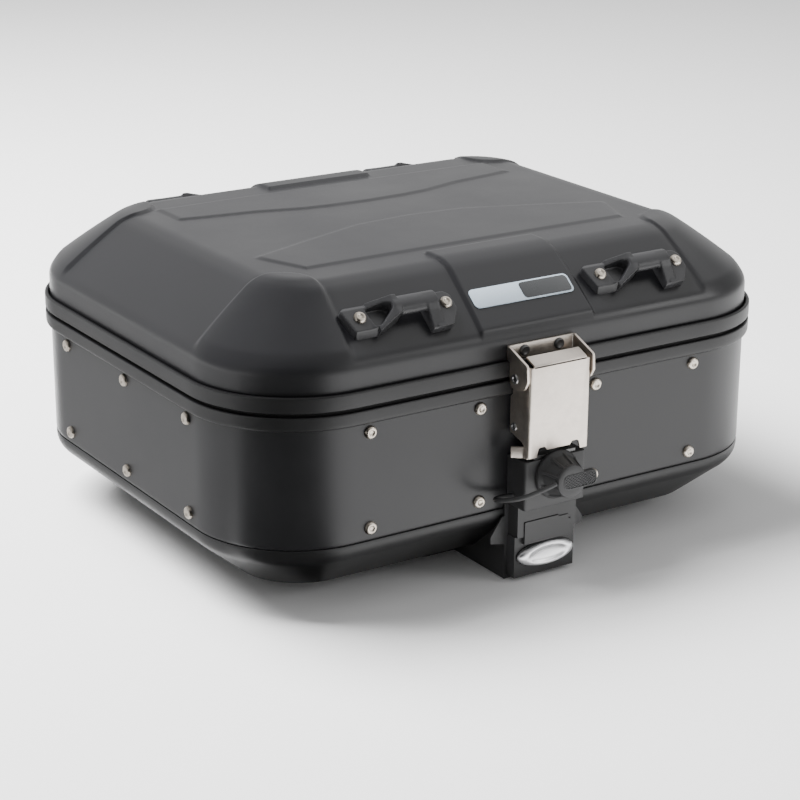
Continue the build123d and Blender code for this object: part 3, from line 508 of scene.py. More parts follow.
def lid_skin():
    xs = samples(X_IN, (-46.8, 46.8), 2.0)
    ys = samples(Y_IN, (), 2.0)
    nc = 62
    L1, L2 = 6.5, 10.0
    # profile in the front section: (inset, z)
    prof = [(0.0, z) for z in np.linspace(154.2, z_skirt - L1, 9)]
    u = (math.cos(slope), math.sin(slope))
    p1 = (0.0, z_skirt)
    p2 = (run_y, z_top)
    prof += arc2((0, z_skirt - L1), p1, (u[0] * L1, z_skirt + u[1] * L1), 9)[1:]
    length = math.hypot(run_y, rise)
    for t in np.linspace(L1, length - L2, 28)[1:]:
        prof.append((u[0] * t, z_skirt + u[1] * t))
    prof += arc2((run_y - u[0] * L2, z_top - u[1] * L2), p2, (run_y + L2, z_top), 13)[1:]
    for d in np.linspace(L2, 42.0, 19)[1:]:
        prof.append((run_y + d, z_top))
    V, S = [], []
    for w, z in prof:
        if w <= run_y:
            t = w / run_y
            hx = half_l + (top_l / 2 - half_l) * t
            hy = half_w + (top_w / 2 - half_w) * t
            r = corner_r + (42.0 - corner_r) * t
        else:
            d = w - run_y
            hx, hy, r = top_l / 2 - d, top_w / 2 - d, 42.0 - d
        p = ring(hx, hy, r, xs, ys, nc)
        V.append(np.column_stack([p, np.full(len(p), z)]))
        up = 0.0 if w <= 0 else (w / u[0] if w <= run_y else length + (w - run_y))
        S.append(np.full(len(p), up + (z - z_skirt if w <= 0 else 0)))
    n = len(V[0])
    m = len(V)
    F = []
    for i in range(m - 1):
        for k in range(n):
            F.append((i * n + k, i * n + (k + 1) % n, (i + 1) * n + (k + 1) % n, (i + 1) * n + k))
    # middle of the top: a plain grid
    base = m * n
    gx, gy = np.meshgrid(xs, ys)
    V.append(np.column_stack([gx.ravel(), gy.ravel(), np.full(gx.size, z_top)]))
    S.append(np.full(gx.size, 200.0))
    nx, ny = len(xs), len(ys)
    for j in range(ny - 1):
        for i in range(nx - 1):
            a = base + j * nx + i
            F.append((a, a + 1, a + nx + 1, a + nx))
    V, S = np.concatenate(V), np.concatenate(S)
    me = bpy.data.meshes.new("tmp")
    me.from_pydata([tuple(v) for v in V], [], F)
    me.update()
    N = np.empty(len(V) * 3)
    me.vertex_normals.foreach_get("vector", N)
    N = N.reshape(-1, 3)
    bpy.data.meshes.remove(me)
    N[N[:, 2] < -0.2] *= -1
    # seam vertices of ring and grid share a straight-up normal
    N[(S >= length + 41.0)] = (0, 0, 1)
    crown = 1.3 * np.clip(1 - (V[:, 0] / 175) ** 2, 0, 1) * np.clip(1 - (V[:, 1] / 132.5) ** 2, 0, 1)
    bow = 0.9 * np.sin(math.pi * np.clip(S / length, 0, 1)) * (S < length)
    E = emboss(V[:, :2], S)
    V = V + N * (E + bow)[:, None]
    V[:, 2] += np.where(S > length - L2, crown, 0)
    o = to_obj("lid_skin", V, F, M["powder"], True)
    sol = o.modifiers.new("t", "SOLIDIFY")
    sol.thickness = 2.0 * MM
    sol.offset = -1.0
    sol.use_even_offset = False
    bake(o)
    o.data.polygons.foreach_set("use_smooth", [True] * len(o.data.polygons))
    o.data.set_sharp_from_angle(angle=math.radians(60))
    return o


put(lid_skin(), "lid", "powder_black", "lid_shell")

# ------------------------------------------------------------------ rims, panels, pan
xs0, ys0 = samples(X_IN, (), 9.0), samples(Y_IN, (), 9.0)
NC = 30

upper = [off(0.9, 156.0), off(0.9, 160.6)] + [off(*p) for p in arc2((0.95, 160.8), (1.0, 162.5), (2.2, 162.5), 5)]
upper += [off(*p) for p in arc2((2.6, 162.5), (4.0, 162.5), (4.0, 160.9), 6)]
upper += [off(*p) for p in arc2((4.0, 152.4), (4.0, 151.5), (3.2, 151.5), 5)]
upper += [off(-11.0 / 2, 151.5), off(-11.0 / 2, 153.6), off(-0.2, 153.8), off(0.3, 156.0)]
put(closed_loft("upper_rim_band", upper, xs0, ys0, NC, M["rim"]), "lid", "rim_black", "upper_rim")

lower = [off(0.1, 138.6)] + [off(*p) for p in arc2((0.5, 138.1), (2.7, 138.0), (3.6, 139.6), 6)]
lower += [off(*p) for p in arc2((3.8, 140.2), (4.0, 141.2), (4.0, 142.4), 4)]
lower += [off(*p) for p in arc2((4.0, 147.6), (4.0, 148.6), (3.1, 148.6), 5)]
lower += [off(-5.5, 148.6), off(-5.5, 146.6), off(-4.6, 145.8), off(-4.6, 121.4), off(-4.2, 121.0), off(-2.5, 121.0), off(-2.1, 121.4),
          off(-2.1, 146.1), off(0.1, 146.1)]
put(closed_loft("lower_rim_band", lower, xs0, ys0, NC, M["rim"]), "case", "rim_black", "lower_rim")


def crowned(hx, hy, r, z, h, xs, ys, nc, z0, z1, amount):
    p = ring(hx, hy, r, xs, ys, nc)
    return p


def body_skin():
    xs, ys, nc = samples(X_IN, (), 5.0), samples(Y_IN, (), 5.0), 40
    prof = [(0.0, z) for z in np.linspace(146.0, 56.0, 40)] + [(-0.12, 54.6), (-0.5, 53.6), (-1.1, 53.05), (-1.9, 53.0)]
    V = []
    for d, z in prof:
        p = ring(half_l + d, half_w + d, corner_r + d, xs, ys, nc)
        # bow of the flat sheet between its fixed edges: computed, but multiplied by zero, so the panels stay flat
        b = 0.55 * math.sin(math.pi * np.clip((z - 53) / 85.0, 0, 1))
        fx = np.clip(1 - (p[:, 0] / half_l) ** 2, 0, 1) * (np.abs(p[:, 1]) > half_w - 3)
        fy = np.clip(1 - (p[:, 1] / half_w) ** 2, 0, 1) * (np.abs(p[:, 0]) > half_l - 3)
        p[:, 1] += np.sign(p[:, 1]) * b * fx * 0.0
        p[:, 0] += np.sign(p[:, 0]) * b * fy * 0.0
        V.append(np.column_stack([p, np.full(len(p), z)]))
    n, m = len(V[0]), len(V)
    F = [(i * n + k, i * n + (k + 1) % n, (i + 1) * n + (k + 1) % n, (i + 1) * n + k) for i in range(m - 1) for k in range(n)]
    o = to_obj("body_skin", np.concatenate(V), F, M["powder"], True)
    sol = o.modifiers.new("t", "SOLIDIFY")
    sol.thickness = 2.0 * MM
    sol.offset = -1.0 if o.data.polygons[10].normal.dot(o.data.polygons[10].center) > 0 else 1.0
    bake(o)
    o.data.polygons.foreach_set("use_smooth", [True] * len(o.data.polygons))
    o.data.set_sharp_from_angle(angle=math.radians(50))
    return o


put(body_skin(), "case", "powder_black", "body_shell")


def pan_skin():
    """Outer and inner surface of the pan, joined at the top of its upstand."""
    xs, ys, nc = samples(X_IN, (), 6.0), samples(Y_IN, (), 6.0), 40

    def sec(w, z, t_in=0.0):
        """w: 0 at the panels to 1 at the flat floor."""
        hx = half_l - 38.0 * w
        hy = half_w - 38.0 * w
        return (hx, hy, corner_r + (45.0 - corner_r) * w, z)

    P = [(-0.055, 71.9), (-0.055, 53.2)]
    out = [(half_l - 2.1, half_w - 2.1, corner_r - 2.1, 71.9), (half_l - 2.1, half_w - 2.1, corner_r - 2.1, 53.0)]
    band = [(0.3, 52.9), (0.12, 52.2), (0.0, 51.2)] + arc2((0.0, 51.0), (0.0, 44.5), (4.6, 40.4), 9)
    for d, z in band:
        out.append((half_l - d, half_w - d, corner_r - d, z))
    # slope to the floor with a soft edge
    w0 = 4.6 / 38.0
    for t in np.linspace(0, 1, 9)[1:-1]:
        w = w0 + (1 - w0) * t
        out.append(sec(w, 40.4 + (z_pan - 40.4) * t))
    out[-1] = sec(w0 + (1 - w0) * 0.93, 40.4 + (z_pan - 40.4) * 0.93)
    for a, b in arc2((w0 + (1 - w0) * 0.95, 40.4 + (z_pan - 40.4) * 0.95), (1.0, z_pan), (1.09, z_pan), 6):
        out.append(sec(min(a, 1.0), b) if a <= 1.0 else (half_l - 38 * a, half_w - 38 * a, 45.0 - 38 * (a - 1), b))
    inner = [(187.5, 143.5, 42.0, z_pan + 2.5), (188.5, 144.5, 43.0, z_pan + 2.5), (190.0, 146.0, 44.0, z_pan + 3.2),
             (half_l - 8.2, half_w - 8.2, corner_r - 8.0, 40.0), (half_l - 4.6, half_w - 4.6, corner_r - 4.6, 51.0),
             (half_l - 4.6, half_w - 4.6, corner_r - 4.6, 71.9)]

    def build(secs, lid_z):
        V = []
        for hx, hy, r, z in secs:
            p = ring(hx, hy, r, xs, ys, nc)
            V.append(np.column_stack([p, np.full(len(p), z)]))
        return V

    VO, VI = build(out, 0), build(inner, 0)
    n = len(VO[0])
    F = []

    def strips(k0, m):
        for i in range(m - 1):
            for k in range(n):
                F.append((k0 + i * n + k, k0 + i * n + (k + 1) % n, k0 + (i + 1) * n + (k + 1) % n, k0 + (i + 1) * n + k))

    strips(0, len(VO))
    strips(len(VO) * n, len(VI))
    F.append(tuple((len(VO) - 1) * n + k for k in range(n)))
    F.append(tuple(len(VO) * n + k for k in range(n)))
    last = (len(VO) + len(VI) - 1) * n
    for k in range(n):
        F.append((last + k, last + (k + 1) % n, (k + 1) % n, k))
    return to_obj("pan_skin", np.concatenate(VO + VI), F, M["pan"], True, 42)


put(pan_skin(), "case", "pan_black", "bottom_pan")

# ------------------------------------------------------------------ rivets
head = [(0, 1.75), (1.3, 1.8), (1.7, 2.05), (2.1, 2.4), (2.7, 2.62), (3.3, 2.55), (3.9, 2.2), (4.4, 1.5), (4.66, 0.7), (4.7, 0.02), (2.5, 0.0)]
tail = [(2.4, 0.0), (2.4, -4.6), (3.5, -4.62), (3.6, -5.0), (3.4, -5.8), (2.4, -6.1), (0, -6.1)]
full = head[:-1] + [(2.4, 0.0)] + tail[1:]
put(lathes("rivets_front", full, [plane_front(x, z) for x in riv_x for z in z_riv], M["rivet"], 40), "case", "rivet_silver", "front_rivets")
put(lathes("rivets_rear", full, [plane_rear(x, z) for x in riv_x for z in z_riv], M["rivet"], 40), "case", "rivet_silver", "rear_rivets")
put(lathes("rivets_left", full, [plane_side(y, z, -1) for y in riv_y for z in z_riv], M["rivet"], 40), "case", "rivet_silver", "left_rivets")
put(lathes("rivets_right", full, [plane_side(y, z, 1) for y in riv_y for z in z_riv], M["rivet"], 40), "case", "rivet_silver", "right_rivets")

# ------------------------------------------------------------------ tie-down handles
handle_pts = [(-46, 37.5), (-42, 40), (-4, 39.8), (-4, 25.4), (-24.5, 16.2), (-41, 16.4)]
pocket_pts = [(-29.0, 35.9), (-14.5, 36.4), (-9.6, 34.2), (-9.2, 30.6), (-21.5, 20.2), (-26.5, 19.8)]


def sh_plane(cx, x, front):
    """Section plane across a handle: local x up the slope, local y away from it, normal along the handle."""
    q = slope_plane(cx, 0, 0.06, front)
    o = np.array(q[0], float) + np.array(q[1], float) * x
    return (o, q[2], q[3], q[1])


def xh_plane(cx, s0, front):
    """Section plane along a handle: local x along it, local y away from the slope, normal up the slope."""
    q = slope_plane(cx, s0, 0.06, front)
    return (q[0], q[1], q[3], q[2])


def handle(name, cx, front):
    H = M["handle"]
    pl = slope_plane(cx, 0, 0.06, front)
    # low end: flat pad rising to the bar, with a leaning edge and a sunk triangular pocket
    end = prism("h", round_poly(handle_pts, [3, 3, 0, 0, 3, 3], 4), pl, 0.0, 14.0, H)
    boolean(end, prism("c", round_poly([(-52, 7.05), (-28.5, 7.05), (-8, 13.3), (0, 13.3), (0, 24), (-52, 24)], [0, 9, 7, 0, 0, 0], 6), xh_plane(cx, 5, front), 0, 45, H))
    lean = [(15.0, -1.0), (15.0, 15.0), (22.5, 15.0), (16.2, -1.0)]
    boolean(end, prism("c", lean, sh_plane(cx, -50, front), 0, 26, H))
    pc = round_poly(pocket_pts, [2.0, 3, 3.5, 3.5, 3, 2], 4)
    cen = np.mean(np.array(pc), axis=0)
    o_, ex, ey, en = [np.array(a, float) for a in slope_plane(cx, 0, 3.6, front)]
    n = len(pc)
    v = [o_ + ex * p[0] + ey * p[1] for p in [cen + (np.array(p) - cen) * 0.86 for p in pc]]
    v += [o_ + ex * p[0] + ey * p[1] + en * 12.0 for p in [cen + (np.array(p) - cen) * 1.06 for p in pc]]
    f = [tuple(range(n)), tuple(range(n, 2 * n))] + [(i, (i + 1) % n, n + (i + 1) % n, n + i) for i in range(n)]
    boolean(end, to_obj("c", v, f, H, False))
    # round bar over the strap tunnel
    arc = [(32.5 - 7.3 * math.cos(t), 8.9 + 4.7 * math.sin(t)) for t in np.linspace(0, math.pi, 21)]
    bar_sec = [(25.2, 7.7)] + arc + [(39.8, 7.7)]
    bar = prism("b", bar_sec, sh_plane(cx, -8.5, front), 0, 34.3, H)
    root = prism("b", [(25.2, 0.0)] + arc + [(39.8, 0.0)], sh_plane(cx, -8.5, front), 0, 2.2, H)
    # inner leg that runs down the slope, and the pad of the inner rivet
    leg_sec = round_poly([(11.6, 0.0), (11.6, 6.0), (24.0, 10.6), (28.5, 13.2), (36.5, 13.3), (39.8, 10.4), (39.8, 0.0)], [0, 2, 8, 6, 4, 3, 0], 6)
    leg = prism("l", leg_sec, sh_plane(cx, 16.4, front), 0, 9.6, H)
    pad = prism("p", round_poly([(20, 39.4), (36.5, 39.4), (40.8, 35), (40.8, 23), (33, 12), (20, 11.8)], [0, 4, 4, 5, 3, 0], 5), pl, 0, 7.05, H)
    # the edges of the low end fall away on both sides
    boolean(end, prism("c", [(42.0, 4.0), (42.0, 14.0), (36.5, 14.0), (36.5, 7.4)], sh_plane(cx, -52, front), 0, 26, H))
    boolean(end, prism("c", [(13.0, 3.2), (20.0, 7.4), (20.0, 14.0), (13.0, 14.0)], sh_plane(cx, -52, front), 0, 25, H))
    o = join([end, bar, root, leg, pad], name)
    remesh(o, 0.5, 9, 0.5)
    return o


rv = [(0, 1.75), (1.2, 1.8), (1.6, 2.0), (2.0, 2.35), (2.6, 2.55), (3.3, 2.4), (3.9, 1.9), (4.35, 1.0), (4.5, 0.02), (2.0, 0.0)]
for side, cx, front in (("front_left", -100.6, True), ("front_right", 99.4, True), ("rear_left", -99.4, False), ("rear_right", 100.6, False)):
    put(handle("tie_handle_" + side, cx, front), "lid", "handle_black", "handle_" + side)
for where, front, cxs in (("front", True, (-100.6, 99.4)), ("rear", False, (-99.4, 100.6))):
    sg = 1 if front else -1
    obs = []
    for c in cxs:
        for d, seat in ((-34.2, 7.1), (34.2, 7.1)):
            obs.append(lathes("r", rv + [(2.0, -seat - 2.2), (3.4, -seat - 2.3), (3.3, -seat - 3.4), (0, -seat - 3.5)],
                              [slope_plane(c + sg * d, 29.5, seat, front)], M["rivet"], 40))
    put(join(obs, "handle_rivets_" + where + "_set"), "lid", "rivet_silver", "handle_rivets_" + where)

# ------------------------------------------------------------------ badge, two plain fields with a pale outline
def rrect(w, h, r, cx=0.0, cy=0.0, seg=8):
    return round_poly([(cx - w / 2, cy - h / 2), (cx + w / 2, cy - h / 2), (cx + w / 2, cy + h / 2), (cx - w / 2, cy + h / 2)], r, seg)


bp = slope_plane(-1.0, 30.0, 3.05, True)
plate = prism("p", rrect(84, 16, 4.2), bp, 0.0, 0.8, M["badge_pale"])
plate = bevel(plate, 0.3, 2)
dark = prism("d", rrect(41.0, 13.4, 3.4, 19.9, 0.0), bp, 0.8, 0.98, M["badge_dark"])
dark = bevel(dark, 0.08, 2)
put(join([plate, dark], "badge"), "lid", "badge_plastic", "badge_plate")

# ------------------------------------------------------------------ latch bracket
YZ = ((0, 0, 0), (0, 1, 0), (0, 0, 1), (1, 0, 0))
XZ = ((0, 0, 0), (1, 0, 0), (0, 0, 1), (0, -1, 0))
XY = ((0, 0, 0), (1, 0, 0), (0, 1, 0), (0, 0, 1))
u_out = round_poly([(-28.8, -212), (-28.8, -184.55), (28.8, -184.55), (28.8, -212), (27.0, -212), (27.0, -186.5), (-27.0, -186.5), (-27.0, -212)],
                   [0, 2.4, 2.4, 0, 0, 0.8, 0.8, 0], 5)
br = prism("bracket", u_out, XY, 140, 173.0, M["steel"])
ear = round_poly([(-184.0, 173), (-187.4, 173), (-209.4, 164.4), (-210.2, 153), (-206.5, 146.6), (-198, 144.4), (-191.6, 144.8), (-189.2, 149.5), (-189.0, 162.9), (-184.0, 162.9)],
                 [0, 1.5, 3.0, 4.0, 5.0, 4.0, 3.5, 3, 1.5, 0], 5)
boolean(br, prism("c", ear, YZ, -40, 40, M["steel"]), "INTERSECT")
bevel(br, 0.28, 3, 30)
br.name = "latch_bracket_plate"
put(br, "lid", "stainless", "latch_bracket")
bh = [(0, 1.5), (2.4, 1.6), (2.9, 1.9), (3.4, 1.75), (3.9, 1.1), (4.0, 0.0), (2.0, 0.0), (2.0, -4.4), (3.3, -4.5), (3.3, -5.2), (0, -5.3)]
put(lathes("bracket_rivet_pair", bh, [plane_front(x, 168.0, -half_w - 2.05) for x in (-14.7, 14.7)], M["rivet_dark"], 36), "lid", "rivet_silver", "bracket_rivets")


def cross_pin(name, y, z, half, r, head_r, head_t, mat):
    prof = [(0, half + head_t * 0.35), (head_r * 0.45, half + head_t * 0.35), (head_r * 0.55, half + head_t * 0.9),
            (head_r * 0.75, half + head_t), (head_r * 0.95, half + head_t * 0.6), (head_r, half + 0.02), (r, half),
            (r, -half), (head_r, -half - 0.02), (head_r * 0.95, -half - head_t * 0.6), (head_r * 0.75, -half - head_t),
            (head_r * 0.55, -half - head_t * 0.9), (head_r * 0.45, -half - head_t * 0.35), (0, -half - head_t * 0.35)]
    return lathes(name, prof, [((0, y, z), (0, 1, 0), (0, 0, 1), (1, 0, 0))], mat, 36)


put(cross_pin("pivot_pin", -196.0, 152.0, 28.8, 2.5, 3.6, 1.2, M["pin"]), "lid", "pin_steel", "latch_pivot_pin")
put(cross_pin("hook_pivot_pin", -191.5, 115.5, 25.6, 2.0, 3.0, 1.0, M["pin"]), "lever", "pin_steel", "hook_pin")

# ------------------------------------------------------------------ latch lever: one folded sheet
u_lev = round_poly([(-25.6, -186.0), (-25.6, -209.2), (25.6, -209.2), (25.6, -186.0), (24.1, -186.0), (24.1, -207.7), (-24.1, -207.7), (-24.1, -186.0)],
                   [0, 2.3, 2.3, 0, 0, 0.8, 0.8, 0], 6)
lev = prism("lever", u_lev, XY, 96.9, 163.4, M["steel"])
side = round_poly([(-212, 163.4), (-200.0, 161.5), (-192.5, 156.8), (-190.0, 153.0), (-189.4, 149.0), (-189.4, 139.5), (-186.6, 136.5),
                   (-186.6, 111.0), (-200.4, 107.0), (-203.2, 104.8), (-203.2, 96.0), (-212, 96.0)],
                  [0, 2, 2, 2, 2, 2, 2, 2, 1.5, 1.2, 0, 0], 4)
boolean(lev, prism("c", side, YZ, -40, 40, M["steel"]), "INTERSECT")
notch = [(-18.8, 96.0), (-17.2, 102.6), (-16.0, 103.6), (-12.0, 103.6), (-11.0, 102.9), (-9.6, 101.0), (9.6, 101.0), (11.0, 102.9), (12.0, 103.6),
         (16.0, 103.6), (17.2, 102.6), (18.8, 96.0)]
boolean(lev, prism("c", notch, XZ, 206.0, 214.0, M["steel"]))
# dark relief notches in both upper corners
for sg in (-1, 1):
    boolean(lev, prism("c", round_poly([(sg * 22.4, 162.2), (sg * 27, 161.8), (sg * 27, 165), (sg * 22.4, 165)][::sg], [0.6, 0, 0, 0], 3), XZ, 200, 214, M["steel"]))
bevel(lev, 0.25, 3, 30)
lip_sec = round_poly([(-209.2, 161.5), (-209.2, 163.3), (-208.2, 164.2), (-199.3, 167.85), (-198.7, 166.45), (-207.0, 163.0), (-207.7, 162.2), (-207.7, 161.5)],
                     [0, 1.2, 1.2, 0.3, 0.3, 0.8, 0.8, 0], 4)
lip = prism("l", lip_sec, YZ, -22.2, 22.2, M["steel"])
bevel(lip, 0.22, 2, 40)
wings = []
for sg in (-1, 1):
    w = [(sg * 24.2, -207.4), (sg * 25.5, -207.4), (sg * 26.0, -203.2), (sg * 32.6, -197.8), (sg * 31.8, -196.6), (sg * 24.2, -202.2)]
    wg = prism("w", round_poly(w, [0, 0, 2.5, 0.5, 0.5, 1.0], 4), XY, 96.0, 104.2, M["steel"])
    bevel(wg, 0.35, 3, 40)
    wings.append(wg)
put(join([lev, lip] + wings, "latch_lever_sheet"), "lever", "stainless", "latch_lever")

# ------------------------------------------------------------------ lock column
col = prism("column", round_poly([(-26, -184.7), (-26, -206.5), (26, -206.5), (26, -184.7)], [0, 2.6, 2.6, 0], 6), XY, 57.3, 93.5, M["housing"])
boolean(col, prism("c", round_poly([(-15.5, 84), (15.5, 84), (15.5, 100), (-15.5, 100)], 2.0, 3), XZ, 188, 203.5, M["housing"]))
bevel(col, 0.7, 3, 35)
col.name = "lock_column"
put(col, "case", "housing_black", "lock_housing")

# ------------------------------------------------------------------ rubber cap
def lock_cap():
    n = 192
    V, F = [], []
    # (radius, y, weight of the recessed facets)
    rows = [(11.0, -206.9, 0), (17.0, -206.9, 0), (17.6, -207.2, 0), (17.8, -208.0, 0), (17.8, -209.2, 0), (17.3, -210.1, 0), (16.9, -210.5, 0.0)]
    for t in np.linspace(0, 1, 16):
        w = float(smooth01(np.array([t * 7]))[0] * smooth01(np.array([(1 - t) * 7]))[0])
        rows.append((16.7 + (12.1 - 16.7) * t, -210.8 - 13.6 * t, w))
    rows += [(11.95, -224.9, 0), (11.6, -225.8, 0), (10.8, -226.3, 0), (8.0, -226.4, 0), (4.0, -226.4, 0), (0.0, -226.4, 0)]
    idx = []
    for r, y, w in rows:
        if r == 0:
            idx.append([len(V)] * n)
            V.append((0, y, 81.0))
            continue
        idx.append(list(range(len(V), len(V) + n)))
        for k in range(n):
            a = 2 * math.pi * k / n
            ph = (a / (2 * math.pi) * 9) % 1.0
            rec = float(smooth01(np.array([(0.5 - abs(ph - 0.5)) / 0.06 - 1.2]))[0])
            rr = r - 1.15 * w * rec
            V.append((rr * math.cos(a), y, 81.0 + rr * math.sin(a)))
    for a, b in zip(idx, idx[1:]):
        for k in range(n):
            q = list(dict.fromkeys([a[k], a[(k + 1) % n], b[(k + 1) % n], b[k]]))
            if len(q) >= 3:
                F.append(tuple(q))
    k0 = len(V)
    hol = [(11.0, -206.9), (11.0, -214.8), (0, -214.8)]
    v, f = lathe([(r, -y) for r, y in hol], ((0, 0, 81.0), (1, 0, 0), (0, 0, 1), (0, -1, 0)), n)
    V += [tuple(p) for p in v]
    F += [tuple(i + k0 for i in q) for q in f]
    body = to_obj("cap", V, F, M["rubber"], True, 48)
    # grip tab with a crosshatched face
    cx, hx, hz, r = 6.6, 14.4, 5.7, 5.0
    V2, F2 = [], []
    # rows from the rim inwards
    def outline(d):
        pts = round_poly([(cx - hx + d, -hz + d), (cx + hx - d, -hz + d), (cx + hx - d, hz - d), (cx - hx + d, hz - d)], max(r - d, 0.4), 10)
        return np.array(pts)
    base = outline(0)
    steps = [(0.0, -223.2), (0.0, -226.0), (0.15, -226.5), (0.5, -226.8), (0.9, -226.85), (1.2, -226.5), (1.35, -226.3)]
    m = len(base)
    for d, y in steps:
        for p in outline(d):
            V2.append((p[0], y, 81.0 + p[1]))
    for i in range(len(steps) - 1):
        for k in range(m):
            F2.append((i * m + k, i * m + (k + 1) % m, (i + 1) * m + (k + 1) % m, (i + 1) * m + k))
    F2.append(tuple(range(m)))
    F2.append(tuple((len(steps) - 1) * m + k for k in range(m)))
    tab = to_obj("tab", V2, F2, M["rubber"], True, 40)
    # diamonds
    V3, F3 = [], []
    pitch = 2.3
    inner = 4.6
    for i in range(-20, 21):
        for j in range(-20, 21):
            u, w = (i + j) * pitch / 2 * 1.3, (i - j) * pitch / 2 * 0.9
            px, pz = cx + u, w
            if abs(px - cx) > hx - 2.2 or abs(pz) > inner - 0.3:
                continue
            if abs(px - cx) > hx - 4.5 and math.hypot(abs(px - cx) - (hx - 4.5), pz) > 3.9:
                continue
            k = len(V3)
            a, b = pitch * 0.52, pitch * 0.36
            V3 += [(px - a, -226.25, 81 + pz), (px, -226.25, 81 + pz - b), (px + a, -226.25, 81 + pz), (px, -226.25, 81 + pz + b),
                   (px - a * 0.35, -226.95, 81 + pz), (px, -226.95, 81 + pz - b * 0.35), (px + a * 0.35, -226.95, 81 + pz), (px, -226.95, 81 + pz + b * 0.35)]
            F3 += [(k + 4, k + 5, k + 6, k + 7), (k + 3, k + 2, k + 1, k)] + [(k + q, k + (q + 1) % 4, k + 4 + (q + 1) % 4, k + 4 + q) for q in range(4)]
    dm = to_obj("dm", V3, F3, M["rubber"], False)
    return join([body, tab, dm], "lock_cap_rubber")


cap = lock_cap()
cap.data.set_sharp_from_angle(angle=math.radians(35))
put(cap, "lock_cap", "cap_rubber", "lock_cap")

# strap of the cap: a free rubber cord
strap_pts = [(-12.7, -224.2, 81.2), (-24.0, -223.6, 78.4), (-39.5, -219.0, 73.6), (-49.0, -206.0, 70.2), (-43.0, -193.6, 67.0), (-26.2, -192.6, 65.5)]
cu = bpy.data.curves.new("cap_tether", "CURVE")
cu.dimensions = "3D"
sp = cu.splines.new("NURBS")
sp.points.add(len(strap_pts) - 1)
for q, p in zip(sp.points, strap_pts):
    q.co = (p[0] * MM, p[1] * MM, p[2] * MM, 1.0)
sp.order_u = 3
sp.use_endpoint_u = True
sp.resolution_u = 16
cu.resolution_u = 16
cu.bevel_depth = 1.7 * MM
cu.bevel_resolution = 8
cu.use_fill_caps = True
strap = bpy.data.objects.new("cap_tether", cu)
bpy.context.scene.collection.objects.link(strap)
cu.materials.append(M["rubber"])
put(strap, "lock_cap", "cap_rubber", "cap_strap")

# ------------------------------------------------------------------ release button: a dished oval
def button():
    n = 96
    cz = 18.4
    rows = [(0.0, -196.0), (0.999, -196.0), (1.0, -197.0), (0.985, -198.0), (0.95, -199.0), (0.90, -199.9), (0.84, -200.5), (0.77, -200.8), (0.70, -200.75), (0.64, -200.4),
            (0.58, -199.9), (0.50, -199.5), (0.38, -199.2), (0.2, -199.05), (0.0, -199.0)]
    V, F, idx = [], [], []
    for s, y in rows:
        if s == 0:
            idx.append([len(V)] * n)
            V.append((0, y, cz))
            continue
        idx.append(list(range(len(V), len(V) + n)))
        for k in range(n):
            a = 2 * math.pi * k / n
            c, sn = math.cos(a), math.sin(a)
            # slightly squared oval
            e = 2.04
            rx = 24.1 * np.sign(c) * abs(c) ** (2 / e)
            rz = 9.0 * np.sign(sn) * abs(sn) ** (2 / e)
            V.append((rx * s, y, cz + rz * s))
    for a, b in zip(idx, idx[1:]):
        for k in range(n):
            q = list(dict.fromkeys([a[k], a[(k + 1) % n], b[(k + 1) % n], b[k]]))
            if len(q) >= 3:
                F.append(tuple(q))
    return to_obj("release_button_oval", V, F, M["button"], True, 70)


put(button(), "button", "button_silver", "release_button")

# ------------------------------------------------------------------ CAD pieces that keep their shape
FINISH = {
    "foot_housing": "housing", "button_carrier": "housing", "base_frame": "housing", "rim_seal": "seal", "floor_mat": "mat",
    "latch_hook": "rivet_dark", "latch_catch": "rivet_dark", "lock_rosette": "chrome", "lock_cylinder": "chrome", "lock_cam": "pin",
    "housing_screws": "pin", "base_screws": "pin", "release_slide": "rivet_dark", "release_spring": "pin",
    "hinge_pin_left": "pin", "hinge_pin_right": "pin", "hinge_body_leaf_left": "hinge", "hinge_body_leaf_right": "hinge",
    "hinge_lid_leaf_left": "hinge", "hinge_lid_leaf_right": "hinge", "hinge_rivets_body": "rivet_dark", "hinge_rivets_lid": "rivet_dark",
}
SOFTEN = {"foot_housing": 0.9, "button_carrier": 0.35, "base_frame": 0.7, "latch_hook": 0.4, "latch_catch": 0.3, "hinge_body_leaf_left": 0.3,
          "hinge_body_leaf_right": 0.3, "hinge_lid_leaf_left": 0.3, "hinge_lid_leaf_right": 0.3, "lock_rosette": 0.3, "base_screws": 0.2}
for n, mname in FINISH.items():
    o = NODES[n]
    o.data.materials.clear()
    o.data.materials.append(M[mname])
    if n in SOFTEN:
        w = o.modifiers.new("weld", "WELD")
        w.merge_threshold = 2e-6
        m = o.modifiers.new("bevel", "BEVEL")
        m.width = SOFTEN[n] * MM
        m.segments = 3
        m.limit_method = "ANGLE"
        m.angle_limit = math.radians(35)
        m.harden_normals = True

# ------------------------------------------------------------------ floor, light, camera
me = bpy.data.meshes.new("studio_floor")
R = 6.0
me.from_pydata([(-R, -R, -0.0004), (R, -R, -0.0004), (R, R, -0.0004), (-R, R, -0.0004)], [], [(0, 1, 2, 3)])
floor = bpy.data.objects.new("studio_floor", me)
bpy.context.scene.collection.objects.link(floor)
fm, fnt, fb, fvec = new_mat("studio_floor_white")
fb.inputs["Base Color"].default_value = (0.96, 0.96, 0.96, 1)
fb.inputs["Roughness"].default_value = 0.9
fb.inputs["Specular IOR Level"].default_value = 0.1
me.materials.append(fm)

world = bpy.data.worlds.new("studio")
bpy.context.scene.world = world
world.use_nodes = True
world.node_tree.nodes["Background"].inputs["Color"].default_value = (1, 1, 1, 1)
world.node_tree.nodes["Background"].inputs["Strength"].default_value = 0.5


